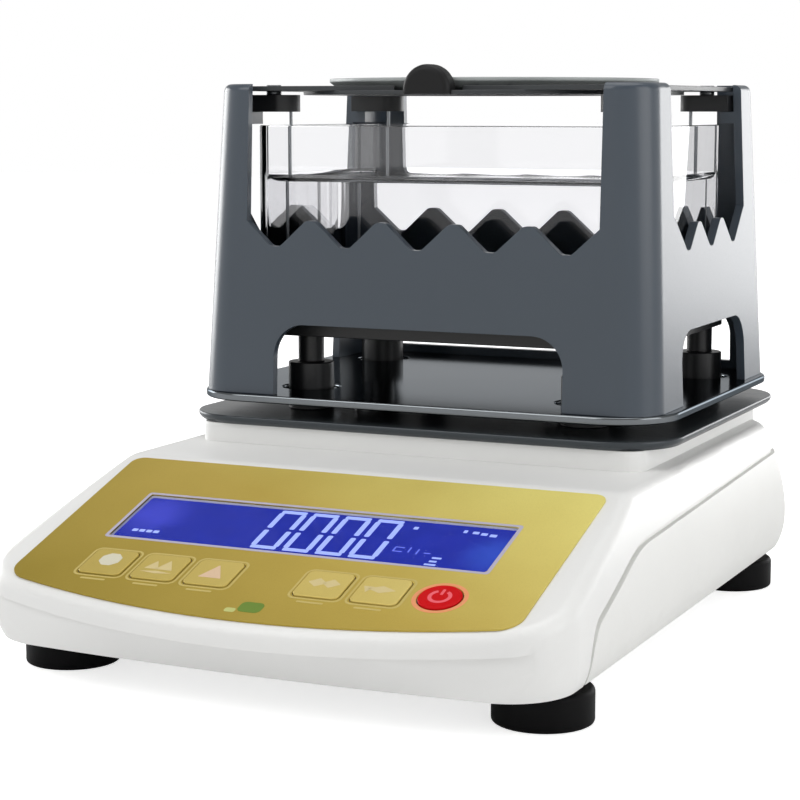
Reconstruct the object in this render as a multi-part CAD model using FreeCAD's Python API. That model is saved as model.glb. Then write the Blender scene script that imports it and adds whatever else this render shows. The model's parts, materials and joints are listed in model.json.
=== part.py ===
import FreeCAD, Part
import math
import os

from FreeCAD import Matrix, Placement, Rotation, Vector as V

# Benchtop density meter: a weighing base with a sloping control panel, and on its pan a
# rack that carries a dish and a hanging basket over a water tank on its own fixed stand.
# Millimetres. X runs to the right, Y to the back and Z up. The origin lies on the bench,
# under the middle of the base.

# ---- housing of the weighing base ---------------------------------------------------------
HOUSING_WIDTH = 190.0
HOUSING_LENGTH = 271.0
SKIRT_CLEARANCE = 12.4          # bench to the underside of the housing
DECK_HEIGHT = 58.0              # bench to the flat top behind the panel
HOUSING_WALL = 2.8
FRONT_BOW_RADIUS = 300.0        # the front bulges forward in plan
FRONT_CORNER_RADIUS = 20.0
BACK_CORNER_RADIUS = 26.0
SKIRT_DRAFT = 2.4               # how far the foot of the walls leans in
SKIRT_SET_BACK = 7.6            # how far the foot of the front leans back in the middle
SKIRT_BOW_RADIUS = 900.0        # the foot of the front is nearly straight
SHOULDER_DRAFT = 7.5            # how far the walls lean in up to the deck
WIDEST_HEIGHT = 22.0            # bench to the widest line of the walls
SHOULDER_FILLET = 5.0
APRON_HEIGHT = 5.9              # band under the panel, along the front
APRON_LIP = 1.3                 # how far that band stands proud of the skirt
SEAM_GAP = 1.8                  # groove between the two shells
SEAM_FRONT_INSET = 38.4         # front wall to where the groove turns down to the foot
SEAM_BEND_INSET = 5.0           # the panel's break to where the groove bends with it
SEAM_BEND_HEIGHT = 44.2
SEAM_RISE_DEG = 1.8
SEAM_FRONT_RADIUS = 12.0
SEAM_BEND_RADIUS = 60.0
TONGUE_THICKNESS = 1.3
TONGUE_HEIGHT = 2.0
SLIP = 0.3                      # free gap between parts that must not touch

# ---- control panel -------------------------------------------------------------------------
PANEL_TILT_DEG = 17.9
PANEL_BREAK_INSET = 91.2        # front wall to where the deck turns down into the panel
PANEL_BREAK_RADIUS = 12.0
OVERLAY_TOP = 3.6               # down the slope from the break to the overlay
OVERLAY_LENGTH = 89.2
OVERLAY_MARGIN = 12.5           # widest line of the walls to the overlay's sides
OVERLAY_BOW_RADIUS = 300.0      # its lower edge
OVERLAY_THICKNESS = 0.6
OVERLAY_TOP_RADIUS = 4.0
OVERLAY_BOTTOM_RADIUS = 8.0
DISPLAY_WIDTH = 125.5
DISPLAY_HEIGHT = 26.8
DISPLAY_CENTRE = 40.8           # down the slope from the break
DISPLAY_DEPTH = 6.0
WINDOW_THICKNESS = 0.9
KEY_WIDTH = 14.6
KEY_HEIGHT = 14.0
KEY_CORNER_RADIUS = 2.0
KEY_PITCH = 18.1
KEY_GROUP_OFFSET = 18.0         # middle of the row to the nearest key of each group
KEY_ROW_SHIFT = 1.1             # the row's middle lies right of the panel's
KEY_ROW = 70.2                  # down the slope from the break
KEY_PROUD = 0.5                 # above the overlay
KEY_TRAVEL = 0.5
KEY_STEM_WIDTH = 4.0
POWER_KEY_DIAMETER = 12.8
SWITCH_HEIGHT = 2.6
SWITCH_SIZE = 6.0
BOARD_THICKNESS = 1.6
CUT_THROUGH = 9.0               # a cutter's reach past a wall that it opens

# ---- raised neck and plates ----------------------------------------------------------------
PAN_BACK_INSET = 75.0           # back wall to the middle of the pan
NECK_WIDTH = 160.0
NECK_DEPTH = 136.0
NECK_SET_FORWARD = 3.5          # the neck's middle lies ahead of the pan's
NECK_TOP = 64.5
NECK_FLARE = 0.6
NECK_CORNER_RADIUS = 6.0
DECK_PLATE_THICKNESS = 3.0
DECK_PLATE_MARGIN = 2.0         # deck plate beyond the pan, all round
PAN_WIDTH = 172.0
PAN_DEPTH = 144.0
PAN_CORNER_RADIUS = 22.0
PAN_TOP = 75.0
PAN_THICKNESS = 2.7
PEG_SPACING_X = 72.0
PEG_SPACING_Y = 60.0
PEG_DIAMETER = 8.0
PEG_HOLE_DIAMETER = 13.0
CAP_DIAMETER = 11.0
CAP_HEIGHT = 3.0

# ---- weighing mechanism --------------------------------------------------------------------
CELL_LENGTH = 112.0
CELL_WIDTH = 28.0
CELL_HEIGHT = 22.0
CELL_FOOT_HEIGHT = 4.0
CELL_FOOT_LENGTH = 28.0
CELL_BORE_DIAMETER = 15.0
CELL_BORE_SPACING = 26.0
CELL_SLOT = 4.0
CARRIER_SPACER_HEIGHT = 3.0
CARRIER_THICKNESS = 3.0
CARRIER_ARM_WIDTH = 14.0
CELL_SCREW_DIAMETER = 6.0
CELL_SCREW_SPACING = 14.0

# ---- levelling feet ------------------------------------------------------------------------
FOOT_INSET_X = 16.0             # widest line of the walls to the middle of a foot
FOOT_INSET_FRONT = 43.0
FOOT_INSET_BACK = 38.0
FOOT_DIAMETER = 29.6
FOOT_HEIGHT = 10.4
FOOT_EDGE = 1.6
STUD_DIAMETER = 8.0
STUD_TOP = 27.0
STUD_SEAT = 4.0                 # bench to the bottom of the stud, inside the foot
STUD_FIT = 0.08                 # radial running clearance in the insert
INSERT_DIAMETER = 12.0
INSERT_HEIGHT = 8.0
BOSS_ABOVE_STUD = 4.0           # a boss of the floor rises this far over its stud

# ---- rack ----------------------------------------------------------------------------------
RACK_WIDTH = 166.0
RACK_DEPTH = 138.0
RACK_HEIGHT = 105.0
RACK_TAPER = 5.0                # each side leans in by this much at the top
RACK_WALL = 3.0
RACK_CORNER_RADIUS = 12.5
RACK_TOP_FILLET = 2.6
RACK_RAIL = 3.2                 # rail that closes the back arch at the bottom
WINDOW_HALF_X = 63.4            # middle to the edge of a corner post, front and back
WINDOW_HALF_Y = 41.0            # the same at the sides
VALLEY_HEIGHT = 50.5            # pan to the bottom of a notch
PEAK_HEIGHT = 59.3              # pan to the top of a tooth
TOOTH_PITCH = 26.2
TOOTH_TIP = 3.4                 # flat width left on a tooth and in a notch
TOOTH_ROUND = 2.6
ARCH_HEIGHT = 24.2              # pan to the top of an arch
ARCH_HALF_FRONT = 52.3
ARCH_HALF_BACK = 69.0
ARCH_HALF_SIDE = 37.0
ARCH_ROUND = 11.0
LEDGE_TOP = 95.6                # pan to the shelf in each post that carries a block
LEDGE_THICKNESS = 4.2
LEDGE_RUN_IN = 0.4              # how far a shelf runs into the wall
LEDGE_SET_BACK = 7.1            # window's edge to the inner end of a shelf

# ---- water tank and its stand --------------------------------------------------------------
TANK_WIDTH = 138.0
TANK_DEPTH = 100.0
TANK_WALL = 3.0
TANK_FLOOR = 3.0
TANK_BOTTOM = 96.2
TANK_TOP = 166.0
TANK_CORNER_RADIUS = 5.0
STAND_DECK = 2.6
STAND_LIP = 3.4
STAND_MARGIN = 2.4              # stand beyond the tank, all round
LEG_DIAMETER = 9.0
LEG_FRONT_HALF_X = 51.0         # the front legs stand closer together
LEG_BACK_HALF_X = 64.0
LEG_HALF_Y = 43.0
LEG_SHOE_DIAMETER = 16.0
LEG_SHOE_TOP = 9.0              # pan to the top of a leg's thick lower end
LEG_HOLE_GAP = 2.0              # radial gap round a leg in the pan

# ---- top plate, dish, basket ---------------------------------------------------------------
BLOCK_WIDTH = 12.0
BLOCK_HEIGHT = 5.8
BLOCK_PAST_WIRE = 4.5           # rounded inner end of a block to its wire
BLOCK_Y = 43.0
WING_THICKNESS = 1.6
WING_LIFT = 1.3                 # blocks to the underside of the wings
WING_HALF_DEPTH = 57.0          # middle to the front and back edges
DISH_RADIUS = 58.0
DISH_HEIGHT = 4.3
DISH_THICKNESS = 1.2
SEAT_WIDTH = 130.0
SEAT_DEPTH = 126.0
SEAT_CORNER_RADIUS = 56.0
SEAT_RING = 14.0
KNOB_RADIUS = 8.4
KNOB_LIFT = 1.3                 # middle of its round above the seat's underside
KNOB_THICKNESS = 8.0
KNOB_OVERHANG = 2.4             # how far it stands out ahead of the seat
KNOB_SHIFT = 2.4                # right of the middle
KNOB_EDGE = 2.2
PIN_DIAMETER = 3.6
PIN_HEAD_DIAMETER = 5.2
PIN_HEAD_HEIGHT = 0.5
PIN_PAST_WIRE = 5.0             # a wire to the pin in the same block
WIRE_DIAMETER = 1.2
WIRE_BEND = 2.0
WIRE_ROOM_X = 6.0               # tank's side to a wire
WIRE_ROOM_Y = 7.0               # tank's front or back to a wire
BASKET_INSET = 3.0              # the wires to the basket's rim
BASKET_FLOOR = 107.0
BASKET_WALL_HEIGHT = 6.0
BASKET_THICKNESS = 1.0
BASKET_CORNER_RADIUS = 9.0
BASKET_HOLE_DIAMETER = 6.0
BASKET_HOLE_PITCH = 15.0

# ---- sockets in the back wall --------------------------------------------------------------
SOCKET_HEIGHT = 30.0            # bench to the middle of the sockets
POWER_SOCKET_X = 52.0
POWER_SOCKET_SIZE = 11.0
POWER_SOCKET_BORE = 5.6
POWER_SOCKET_PIN = 2.0
SERIAL_SOCKET_X = 18.0
SERIAL_SOCKET_WIDTH = 31.0
SERIAL_SOCKET_HEIGHT = 12.6
SERIAL_PIN_PITCH = 2.77
SOCKET_DEPTH = 13.0
SERIAL_WELL_WIDTH = 17.0
SERIAL_WELL_HEIGHT = 8.0
SERIAL_WELL_DEPTH = 6.0
SERIAL_PIN_DIAMETER = 1.0
SERIAL_ROW_SPACING = 2.8
MAIN_BOARD_WIDTH = 110.0
MAIN_BOARD_DEPTH = 46.0
MAIN_BOARD_FRONT_INSET = 76.0   # front wall to the board's middle
CHIP_SIZE = (24.0, 16.0, 3.0)
CAPACITOR_DIAMETER = 10.0
CAPACITOR_HEIGHT = 10.0
TRANSFORMER_SIZE = (18.0, 22.0, 7.0)
COMPONENT_X = 35.0              # middle of the board to the capacitor and the transformer
BOARD_STANDOFF = 6.0
STANDOFF_DIAMETER = 6.0
STANDOFF_INSET = 6.0

# ---- sizes that follow from those above ----------------------------------------------------
FRONT_Y = -HOUSING_LENGTH / 2
BACK_Y = HOUSING_LENGTH / 2
HALF_WIDTH = HOUSING_WIDTH / 2
FLOOR_TOP = SKIRT_CLEARANCE + HOUSING_WALL
TILT = math.radians(PANEL_TILT_DEG)
PANEL_BREAK_Y = FRONT_Y + PANEL_BREAK_INSET
PANEL_DOWN = V(0, -math.cos(TILT), -math.sin(TILT))
PANEL_OUT = V(0, -math.sin(TILT), math.cos(TILT))
PANEL_ORIGIN = V(0, PANEL_BREAK_Y, DECK_HEIGHT)
PAN_CENTRE_Y = BACK_Y - PAN_BACK_INSET
NECK_CENTRE_Y = PAN_CENTRE_Y - NECK_SET_FORWARD
MAIN_BOARD_Y = FRONT_Y + MAIN_BOARD_FRONT_INSET
DECK_PLATE_TOP = NECK_TOP + DECK_PLATE_THICKNESS
PAN_BOTTOM = PAN_TOP - PAN_THICKNESS
RACK_TOP = PAN_TOP + RACK_HEIGHT
BLOCK_BOTTOM = PAN_TOP + LEDGE_TOP
BLOCK_TOP = BLOCK_BOTTOM + BLOCK_HEIGHT
WING_BOTTOM = BLOCK_TOP + WING_LIFT
WING_TOP = WING_BOTTOM + WING_THICKNESS
DISH_BOTTOM = WING_BOTTOM
DISH_TOP = DISH_BOTTOM + DISH_HEIGHT
SEAT_BOTTOM = BLOCK_TOP
CELL_BOTTOM = FLOOR_TOP + CELL_FOOT_HEIGHT
CELL_TOP = CELL_BOTTOM + CELL_HEIGHT
CARRIER_BOTTOM = CELL_TOP + CARRIER_SPACER_HEIGHT
CARRIER_TOP = CARRIER_BOTTOM + CARRIER_THICKNESS
STAND_BOTTOM = TANK_BOTTOM - STAND_DECK
WIRE_X = TANK_WIDTH / 2 - TANK_WALL - WIRE_ROOM_X
WIRE_Y = TANK_DEPTH / 2 - TANK_WALL - WIRE_ROOM_Y
BLOCK_INNER_X = WIRE_X - BLOCK_PAST_WIRE
BLOCK_OUTER_X = RACK_WIDTH / 2 - RACK_TAPER - RACK_WALL - 2 * SLIP
PIN_X = WIRE_X + PIN_PAST_WIRE
BASKET_WIDTH = 2 * (WIRE_X - BASKET_INSET)
BASKET_DEPTH = 2 * (WIRE_Y - BASKET_INSET)
SIDES = (-1, 1)


# ---- general shapes ------------------------------------------------------------------------
def outline(width, depth, radius, z, y=0.0, x=0.0):
    """Rounded rectangle, centred on x and y, as a closed wire at height z."""
    half_w, half_d = width / 2, depth / 2
    edges = []
    corners = ((1, -1, -90), (1, 1, 0), (-1, 1, 90), (-1, -1, 180))
    arcs = []
    for side_x, side_y, start in corners:
        centre = V(x + side_x * (half_w - radius), y + side_y * (half_d - radius), z)
        points = [centre + V(radius * math.cos(a), radius * math.sin(a), 0)
                  for a in (math.radians(start + turn) for turn in (0, 45, 90))]
        arcs.append(points)
    for index, points in enumerate(arcs):
        edges.append(Part.Arc(*points).toShape())
        following = arcs[(index + 1) % 4][0]
        if points[2].distanceToPoint(following) > 1e-6:
            edges.append(Part.LineSegment(points[2], following).toShape())
    return Part.Wire(edges)


def slab(width, depth, radius, bottom, height, y=0.0, x=0.0):
    """Flat plate with rounded corners."""
    return Part.Face(outline(width, depth, radius, bottom, y, x)).extrude(V(0, 0, height))


def block(x0, x1, y0, y1, z0, z1):
    """Plain box between two corners."""
    return Part.makeBox(x1 - x0, y1 - y0, z1 - z0, V(x0, y0, z0))


def rod(diameter, x, y, z0, z1):
    """Upright cylinder."""
    return Part.makeCylinder(diameter / 2, z1 - z0, V(x, y, z0))


def fuse_all(shapes):
    """Union of a list of solids."""
    whole = shapes[0]
    if len(shapes) > 1:
        whole = shapes[0].multiFuse(shapes[1:])
    return whole.removeSplitter()


def cut_all(shape, tools):
    """Shape without any of the tools."""
    return shape.cut(Part.makeCompound(tools)) if tools else shape


def save(node, shape):
    """Write one node and say how many solids and faces it has."""
    assert shape.isValid(), node
    shape.exportStep("parts/%s.step" % node)
    print("%-24s solids %2d faces %3d" % (node, len(shape.Solids), len(shape.Faces)))


def on_panel(across, down, out):
    """Point at a place on the sloping panel."""
    return PANEL_ORIGIN + V(across, 0, 0) + PANEL_DOWN * down + PANEL_OUT * out


def lay_on_panel(shape, across, down, out):
    """Turn a shape modelled flat about its own origin onto the panel slope."""
    turned = shape.copy()
    turned.Placement = Placement(on_panel(across, down, out),
                                 Rotation(V(1, 0, 0), PANEL_TILT_DEG))
    return turned


# ---- housing -------------------------------------------------------------------------------
def plan_wire(half_width, front, back, front_radius, back_radius, z):
    """Outline of the housing at one height: bowed front, straight sides and back."""
    bow_centre = V(0, front + FRONT_BOW_RADIUS, z)
    corner_x = half_width - front_radius
    reach = FRONT_BOW_RADIUS - front_radius
    corner_y = bow_centre.y - math.sqrt(reach ** 2 - corner_x ** 2)
    right_corner = V(corner_x, corner_y, z)
    left_corner = V(-corner_x, corner_y, z)

    def on_bow(corner):
        return bow_centre + (corner - bow_centre) * (FRONT_BOW_RADIUS / reach)

    def corner_mid(corner, start, end, radius):
        direction = (start + end) * 0.5 - corner
        return corner + direction.normalize() * radius

    right_bow, left_bow = on_bow(right_corner), on_bow(left_corner)
    right_side, left_side = V(half_width, corner_y, z), V(-half_width, corner_y, z)
    back_y = back - back_radius
    back_x = half_width - back_radius
    edges = [
        Part.Arc(left_bow, V(0, front, z), right_bow).toShape(),
        Part.Arc(right_bow, corner_mid(right_corner, right_bow, right_side, front_radius),
                 right_side).toShape(),
        Part.LineSegment(right_side, V(half_width, back_y, z)).toShape()]
    turn = back_radius * math.sqrt(0.5)
    edges += [
        Part.Arc(V(half_width, back_y, z), V(back_x + turn, back_y + turn, z),
                 V(back_x, back, z)).toShape(),
        Part.LineSegment(V(back_x, back, z), V(-back_x, back, z)).toShape(),
        Part.Arc(V(-back_x, back, z), V(-back_x - turn, back_y + turn, z),
                 V(-half_width, back_y, z)).toShape(),
        Part.LineSegment(V(-half_width, back_y, z), left_side).toShape(),
        Part.Arc(left_side, corner_mid(left_corner, left_bow, left_side, front_radius),
                 left_bow).toShape()]
    return Part.Wire(edges)


def wall_lean(z):
    """How far the walls lean in from their widest line at height z."""
    if z <= WIDEST_HEIGHT:
        return SKIRT_DRAFT * (WIDEST_HEIGHT - z) / (WIDEST_HEIGHT - SKIRT_CLEARANCE)
    return SHOULDER_DRAFT * ((z - WIDEST_HEIGHT) / (DECK_HEIGHT - WIDEST_HEIGHT)) ** 2.2


def wall_loft(inset):
    """Solid inside the housing's walls, before the top and the front are cut to shape."""
    levels = (SKIRT_CLEARANCE, WIDEST_HEIGHT, (2 * WIDEST_HEIGHT + DECK_HEIGHT) / 3,
              (WIDEST_HEIGHT + 2 * DECK_HEIGHT) / 3, DECK_HEIGHT)
    wires = []
    for z in levels:
        lean = wall_lean(z) + inset
        wires.append(plan_wire(HALF_WIDTH - lean, FRONT_Y + lean, BACK_Y - lean,
                               FRONT_CORNER_RADIUS - inset, BACK_CORNER_RADIUS - inset, z))
    return Part.makeLoft(wires, True, False)


def bowed_wire(front, radius, z):
    """Wide outline at one height whose front edge is bowed forward."""
    centre, reach = V(0, front + radius, z), HOUSING_WIDTH
    side_y = centre.y - math.sqrt(radius ** 2 - reach ** 2)
    left, right = V(-reach, side_y, z), V(reach, side_y, z)
    back_left, back_right = V(-reach, reach + side_y + reach, z), V(reach, side_y + 2 * reach, z)
    return Part.Wire([Part.Arc(left, V(0, front, z), right).toShape(),
                      Part.LineSegment(right, back_right).toShape(),
                      Part.LineSegment(back_right, back_left).toShape(),
                      Part.LineSegment(back_left, left).toShape()])


def behind_skirt(inset):
    """Everything behind the leaning skirt of the front, and straight up from its top."""
    low, high = SKIRT_CLEARANCE, apron_foot()
    front = FRONT_Y + APRON_LIP + inset
    foot = bowed_wire(front + SKIRT_SET_BACK, SKIRT_BOW_RADIUS, low)
    brow = bowed_wire(front, FRONT_BOW_RADIUS, high)
    above = Part.Face(brow).extrude(V(0, 0, DECK_HEIGHT))
    return Part.makeLoft([foot, brow], True, True).fuse(above)


def apron_foot():
    """Height of the band's lower edge in the middle of the front."""
    drop = (PANEL_BREAK_Y - FRONT_Y) * math.tan(TILT) + APRON_HEIGHT / math.cos(TILT)
    return DECK_HEIGHT - drop


def top_prism(lower):
    """Everything under the deck and the panel slope, lowered by an inset."""
    half_turn = TILT / 2
    run = PANEL_BREAK_RADIUS * math.tan(half_turn)
    break_y, deck = PANEL_BREAK_Y + lower * math.tan(half_turn), DECK_HEIGHT - lower
    start = V(0, break_y + run, deck)
    end = V(0, break_y - run * math.cos(TILT), deck - run * math.sin(TILT))
    middle = V(0, start.y - PANEL_BREAK_RADIUS * math.sin(half_turn),
               deck - PANEL_BREAK_RADIUS * (1 - math.cos(half_turn)))
    reach = HOUSING_LENGTH
    far = end + PANEL_DOWN * reach
    edges = [Part.LineSegment(V(0, reach, deck), start).toShape(),
             Part.Arc(start, middle, end).toShape(),
             Part.LineSegment(end, far).toShape(),
             Part.LineSegment(far, V(0, reach, far.z)).toShape(),
             Part.LineSegment(V(0, reach, far.z), V(0, reach, deck)).toShape()]
    face = Part.Face(Part.Wire(edges))
    face.translate(V(-HOUSING_WIDTH, 0, 0))
    return face.extrude(V(2 * HOUSING_WIDTH, 0, 0))


def below_apron():
    """Everything under the lower edge of the band along the front."""
    top = on_panel(0, 0, -APRON_HEIGHT)
    reach = HOUSING_LENGTH
    low = top + PANEL_DOWN * reach
    points = [V(0, top.y, top.z), low, V(0, top.y, low.z), V(0, top.y, top.z)]
    face = Part.Face(Part.makePolygon(points))
    face.translate(V(-HOUSING_WIDTH, 0, 0))
    return face.extrude(V(2 * HOUSING_WIDTH, 0, 0))


def outer_form():
    """Outside of the closed housing, with its soft shoulder."""
    walls = wall_loft(0.0)
    relief = walls.cut(behind_skirt(0.0)).common(below_apron())
    body = walls.common(top_prism(0.0))
    edges = [edge for edge in body.Edges if on_top_rim(edge, body)]
    rounded = body.makeFillet(SHOULDER_FILLET, edges)
    return rounded.cut(relief)


def on_top_rim(edge, body):
    """True for an edge where the deck or the panel meets a wall."""
    middle = edge.valueAt((edge.FirstParameter + edge.LastParameter) / 2)
    faces = body.ancestorsOfType(edge, Part.Face)
    tops = [face for face in faces if abs(face_out(face, middle).x) < 1e-6
            and face_out(face, middle).z > math.cos(TILT) - 1e-4]
    return len(tops) == 1


def face_out(face, point):
    """Outward normal of a face at a point on it."""
    u, v = face.Surface.parameter(point)
    return face.normalAt(u, v)


def slice_between(bottom, top):
    """Block wider than the housing between two heights."""
    return block(-HOUSING_WIDTH, HOUSING_WIDTH, -HOUSING_LENGTH, HOUSING_LENGTH, bottom, top)


def hollow_form():
    """Space between the housing's walls, open at the bottom."""
    return (wall_loft(HOUSING_WALL).common(top_prism(HOUSING_WALL))
            .common(behind_skirt(HOUSING_WALL)))


def below_seam(drop):
    """Everything behind and under the groove that divides the two shells."""
    rise = math.radians(SEAM_RISE_DEG)
    bend = V(0, PANEL_BREAK_Y - SEAM_BEND_INSET, SEAM_BEND_HEIGHT)
    front_y = FRONT_Y + SEAM_FRONT_INSET
    corner = V(0, front_y, bend.z - (bend.y - front_y) * math.tan(TILT))
    far = bend + V(0, math.cos(rise), math.sin(rise)) * HOUSING_LENGTH
    points = [V(0, front_y, -DECK_HEIGHT), corner, bend, far, V(0, far.y, -DECK_HEIGHT)]
    face = Part.Face(Part.makePolygon(points + points[:1]))
    prism = face.extrude(V(2 * HOUSING_WIDTH, 0, 0))
    for place, radius in ((bend, SEAM_BEND_RADIUS), (corner, SEAM_FRONT_RADIUS)):
        edges = [edge for edge in prism.Edges
                 if all(V(0, v.Y, v.Z).distanceToPoint(place) < 1e-6 for v in edge.Vertexes)]
        prism = prism.makeFillet(radius, edges)
    prism.translate(V(-HOUSING_WIDTH, drop, -drop))
    return prism


def panel_hole(width, height, radius, across, down, depth):
    """Cutter that goes through the panel wall."""
    return lay_on_panel(slab(width, height, radius, -depth, 2 * depth), across, down, 0)


def key_places():
    """Name, place across the panel and whether the key is round, from left to right."""
    names = ("count_key", "mode_key", "print_key", "zero_key", "enter_key", "power_key")
    outward = [KEY_GROUP_OFFSET + KEY_PITCH * step for step in range(3)]
    across = [-x for x in reversed(outward)] + outward
    return [(name, x + KEY_ROW_SHIFT, name == "power_key") for name, x in zip(names, across)]


def key_outline(round_key, grow, bottom, height):
    """Solid with a key's outline, flat about the origin."""
    if round_key:
        radius = POWER_KEY_DIAMETER / 2 + grow
        return Part.makeCylinder(radius, height, V(0, 0, bottom))
    return slab(KEY_WIDTH + 2 * grow, KEY_HEIGHT + 2 * grow, KEY_CORNER_RADIUS + grow,
                bottom, height)


def peg_places():
    """Plan positions of the pegs that carry the pan."""
    return [(x * PEG_SPACING_X / 2, PAN_CENTRE_Y + y * PEG_SPACING_Y / 2)
            for x in SIDES for y in SIDES]


def leg_places():
    """Plan positions of the legs of the tank's stand."""
    rows = ((-LEG_HALF_Y, LEG_FRONT_HALF_X), (LEG_HALF_Y, LEG_BACK_HALF_X))
    return [(side * half_x, PAN_CENTRE_Y + y) for y, half_x in rows for side in SIDES]


def foot_places():
    """Name and plan position of each levelling foot."""
    rows = (("front", FRONT_Y + FOOT_INSET_FRONT), ("rear", BACK_Y - FOOT_INSET_BACK))
    columns = (("left", -1), ("right", 1))
    return [("%s_%s" % (row, column), side * (HALF_WIDTH - FOOT_INSET_X), y)
            for row, y in rows for column, side in columns]


def socket_cutters():
    """Openings in the back wall for the two sockets."""
    depth = 4 * HOUSING_WALL
    y0 = BACK_Y - depth
    half = POWER_SOCKET_SIZE / 2 + SLIP / 2
    power = block(POWER_SOCKET_X - half, POWER_SOCKET_X + half, y0, BACK_Y + depth,
                  SOCKET_HEIGHT - half, SOCKET_HEIGHT + half)
    half_w = SERIAL_SOCKET_WIDTH / 2 + SLIP / 2
    half_h = SERIAL_SOCKET_HEIGHT / 2 + SLIP / 2
    serial = block(SERIAL_SOCKET_X - half_w, SERIAL_SOCKET_X + half_w, y0, BACK_Y + depth,
                   SOCKET_HEIGHT - half_h, SOCKET_HEIGHT + half_h)
    return [power, serial]


def neck_shape():
    """Raised platform on the deck under the plates."""
    low = outline(NECK_WIDTH + 2 * NECK_FLARE, NECK_DEPTH + 2 * NECK_FLARE,
                  NECK_CORNER_RADIUS + NECK_FLARE, DECK_HEIGHT - HOUSING_WALL, NECK_CENTRE_Y)
    high = outline(NECK_WIDTH, NECK_DEPTH, NECK_CORNER_RADIUS, NECK_TOP, NECK_CENTRE_Y)
    return Part.makeLoft([low, high], True, True)


def neck_hollow():
    """Space inside the neck."""
    return slab(NECK_WIDTH - 2 * HOUSING_WALL, NECK_DEPTH - 2 * HOUSING_WALL,
                NECK_CORNER_RADIUS - HOUSING_WALL, DECK_HEIGHT - 2 * HOUSING_WALL,
                NECK_TOP - DECK_HEIGHT + HOUSING_WALL, NECK_CENTRE_Y)


def tongue(outer, raise_by, grow):
    """Lip inside the wall that bridges the groove."""
    shell = wall_loft(HOUSING_WALL - TONGUE_THICKNESS - grow).cut(wall_loft(HOUSING_WALL))
    band = below_seam(-raise_by).cut(below_seam(SEAM_GAP + TONGUE_HEIGHT))
    return shell.common(band).common(outer)


def make_housing():
    """Both shells of the housing."""
    outer, hollow = outer_form(), hollow_form()
    with_neck = outer.fuse(neck_shape())
    upper = with_neck.cut(below_seam(0.0)).cut(hollow).cut(neck_hollow())
    cutters = [panel_hole(DISPLAY_WIDTH, DISPLAY_HEIGHT, 1.0, 0, DISPLAY_CENTRE, CUT_THROUGH)]
    for _, across, is_round in key_places():
        hole = key_outline(is_round, SLIP, -CUT_THROUGH, 2 * CUT_THROUGH)
        cutters.append(lay_on_panel(hole, across, KEY_ROW, 0))
    cutters += [rod(PEG_HOLE_DIAMETER, x, y, DECK_HEIGHT - CUT_THROUGH, NECK_TOP + 1.0)
                for x, y in peg_places()]
    cutters.append(tongue(outer, TONGUE_HEIGHT + SLIP, SLIP))
    upper = cut_all(upper, cutters)

    room = hollow.common(slice_between(FLOOR_TOP, DECK_HEIGHT))
    inside = HOUSING_WALL + SLIP
    floor = (wall_loft(inside).common(behind_skirt(inside))
             .common(slice_between(SKIRT_CLEARANCE, FLOOR_TOP)))
    lower = outer.common(below_seam(SEAM_GAP)).cut(room)
    posts = [rod(INSERT_DIAMETER + 2 * HOUSING_WALL, x, y, SKIRT_CLEARANCE + HOUSING_WALL / 2,
                 STUD_TOP + BOSS_ABOVE_STUD) for _, x, y in foot_places()]
    bosses = [post.common(outer) for post in posts]
    lower = fuse_all([lower, floor, tongue(outer, TONGUE_HEIGHT, 0.0)] + bosses)
    cutters = []
    for _, x, y in foot_places():
        cutters.append(rod(STUD_DIAMETER + 1.0, x, y, SKIRT_CLEARANCE - 1.0,
                           STUD_TOP + BOSS_ABOVE_STUD / 2))
        cutters.append(rod(INSERT_DIAMETER, x, y, SKIRT_CLEARANCE - 1.0,
                           SKIRT_CLEARANCE + INSERT_HEIGHT))
    lower = cut_all(lower, cutters + socket_cutters())
    return upper, lower


# ---- control panel pieces ------------------------------------------------------------------
def overlay_face():
    """Outline of the overlay, flat about the break, with its bowed lower edge."""
    top, bottom = -OVERLAY_TOP, -OVERLAY_TOP - OVERLAY_LENGTH
    half = HALF_WIDTH - OVERLAY_MARGIN
    sag = OVERLAY_BOW_RADIUS - math.sqrt(OVERLAY_BOW_RADIUS ** 2 - half ** 2)
    corners = [V(-half, top, 0), V(half, top, 0), V(half, bottom + sag, 0),
               V(-half, bottom + sag, 0)]
    edges = [Part.LineSegment(corners[0], corners[1]).toShape(),
             Part.LineSegment(corners[1], corners[2]).toShape(),
             Part.Arc(corners[2], V(0, bottom, 0), corners[3]).toShape(),
             Part.LineSegment(corners[3], corners[0]).toShape()]
    return Part.Face(Part.Wire(edges))


def make_overlay():
    """Gold overlay with its display opening and key holes."""
    sheet = overlay_face().extrude(V(0, 0, OVERLAY_THICKNESS))
    middle_y = -OVERLAY_TOP - OVERLAY_LENGTH / 2
    for radius, above in ((OVERLAY_TOP_RADIUS, True), (OVERLAY_BOTTOM_RADIUS, False)):
        uprights = [edge for edge in sheet.Edges
                    if abs(edge.Vertexes[0].Z - edge.Vertexes[-1].Z) > OVERLAY_THICKNESS / 2
                    and (edge.CenterOfMass.y > middle_y) == above]
        sheet = sheet.makeFillet(radius, uprights)
    tools = [slab(DISPLAY_WIDTH, DISPLAY_HEIGHT, 1.0, -1.0, 3.0, -DISPLAY_CENTRE)]
    for _, across, is_round in key_places():
        hole = key_outline(is_round, SLIP, -1.0, 3.0)
        hole.translate(V(across, -KEY_ROW, 0))
        tools.append(hole)
    return lay_on_panel(cut_all(sheet, tools), 0, 0, 0)


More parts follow.
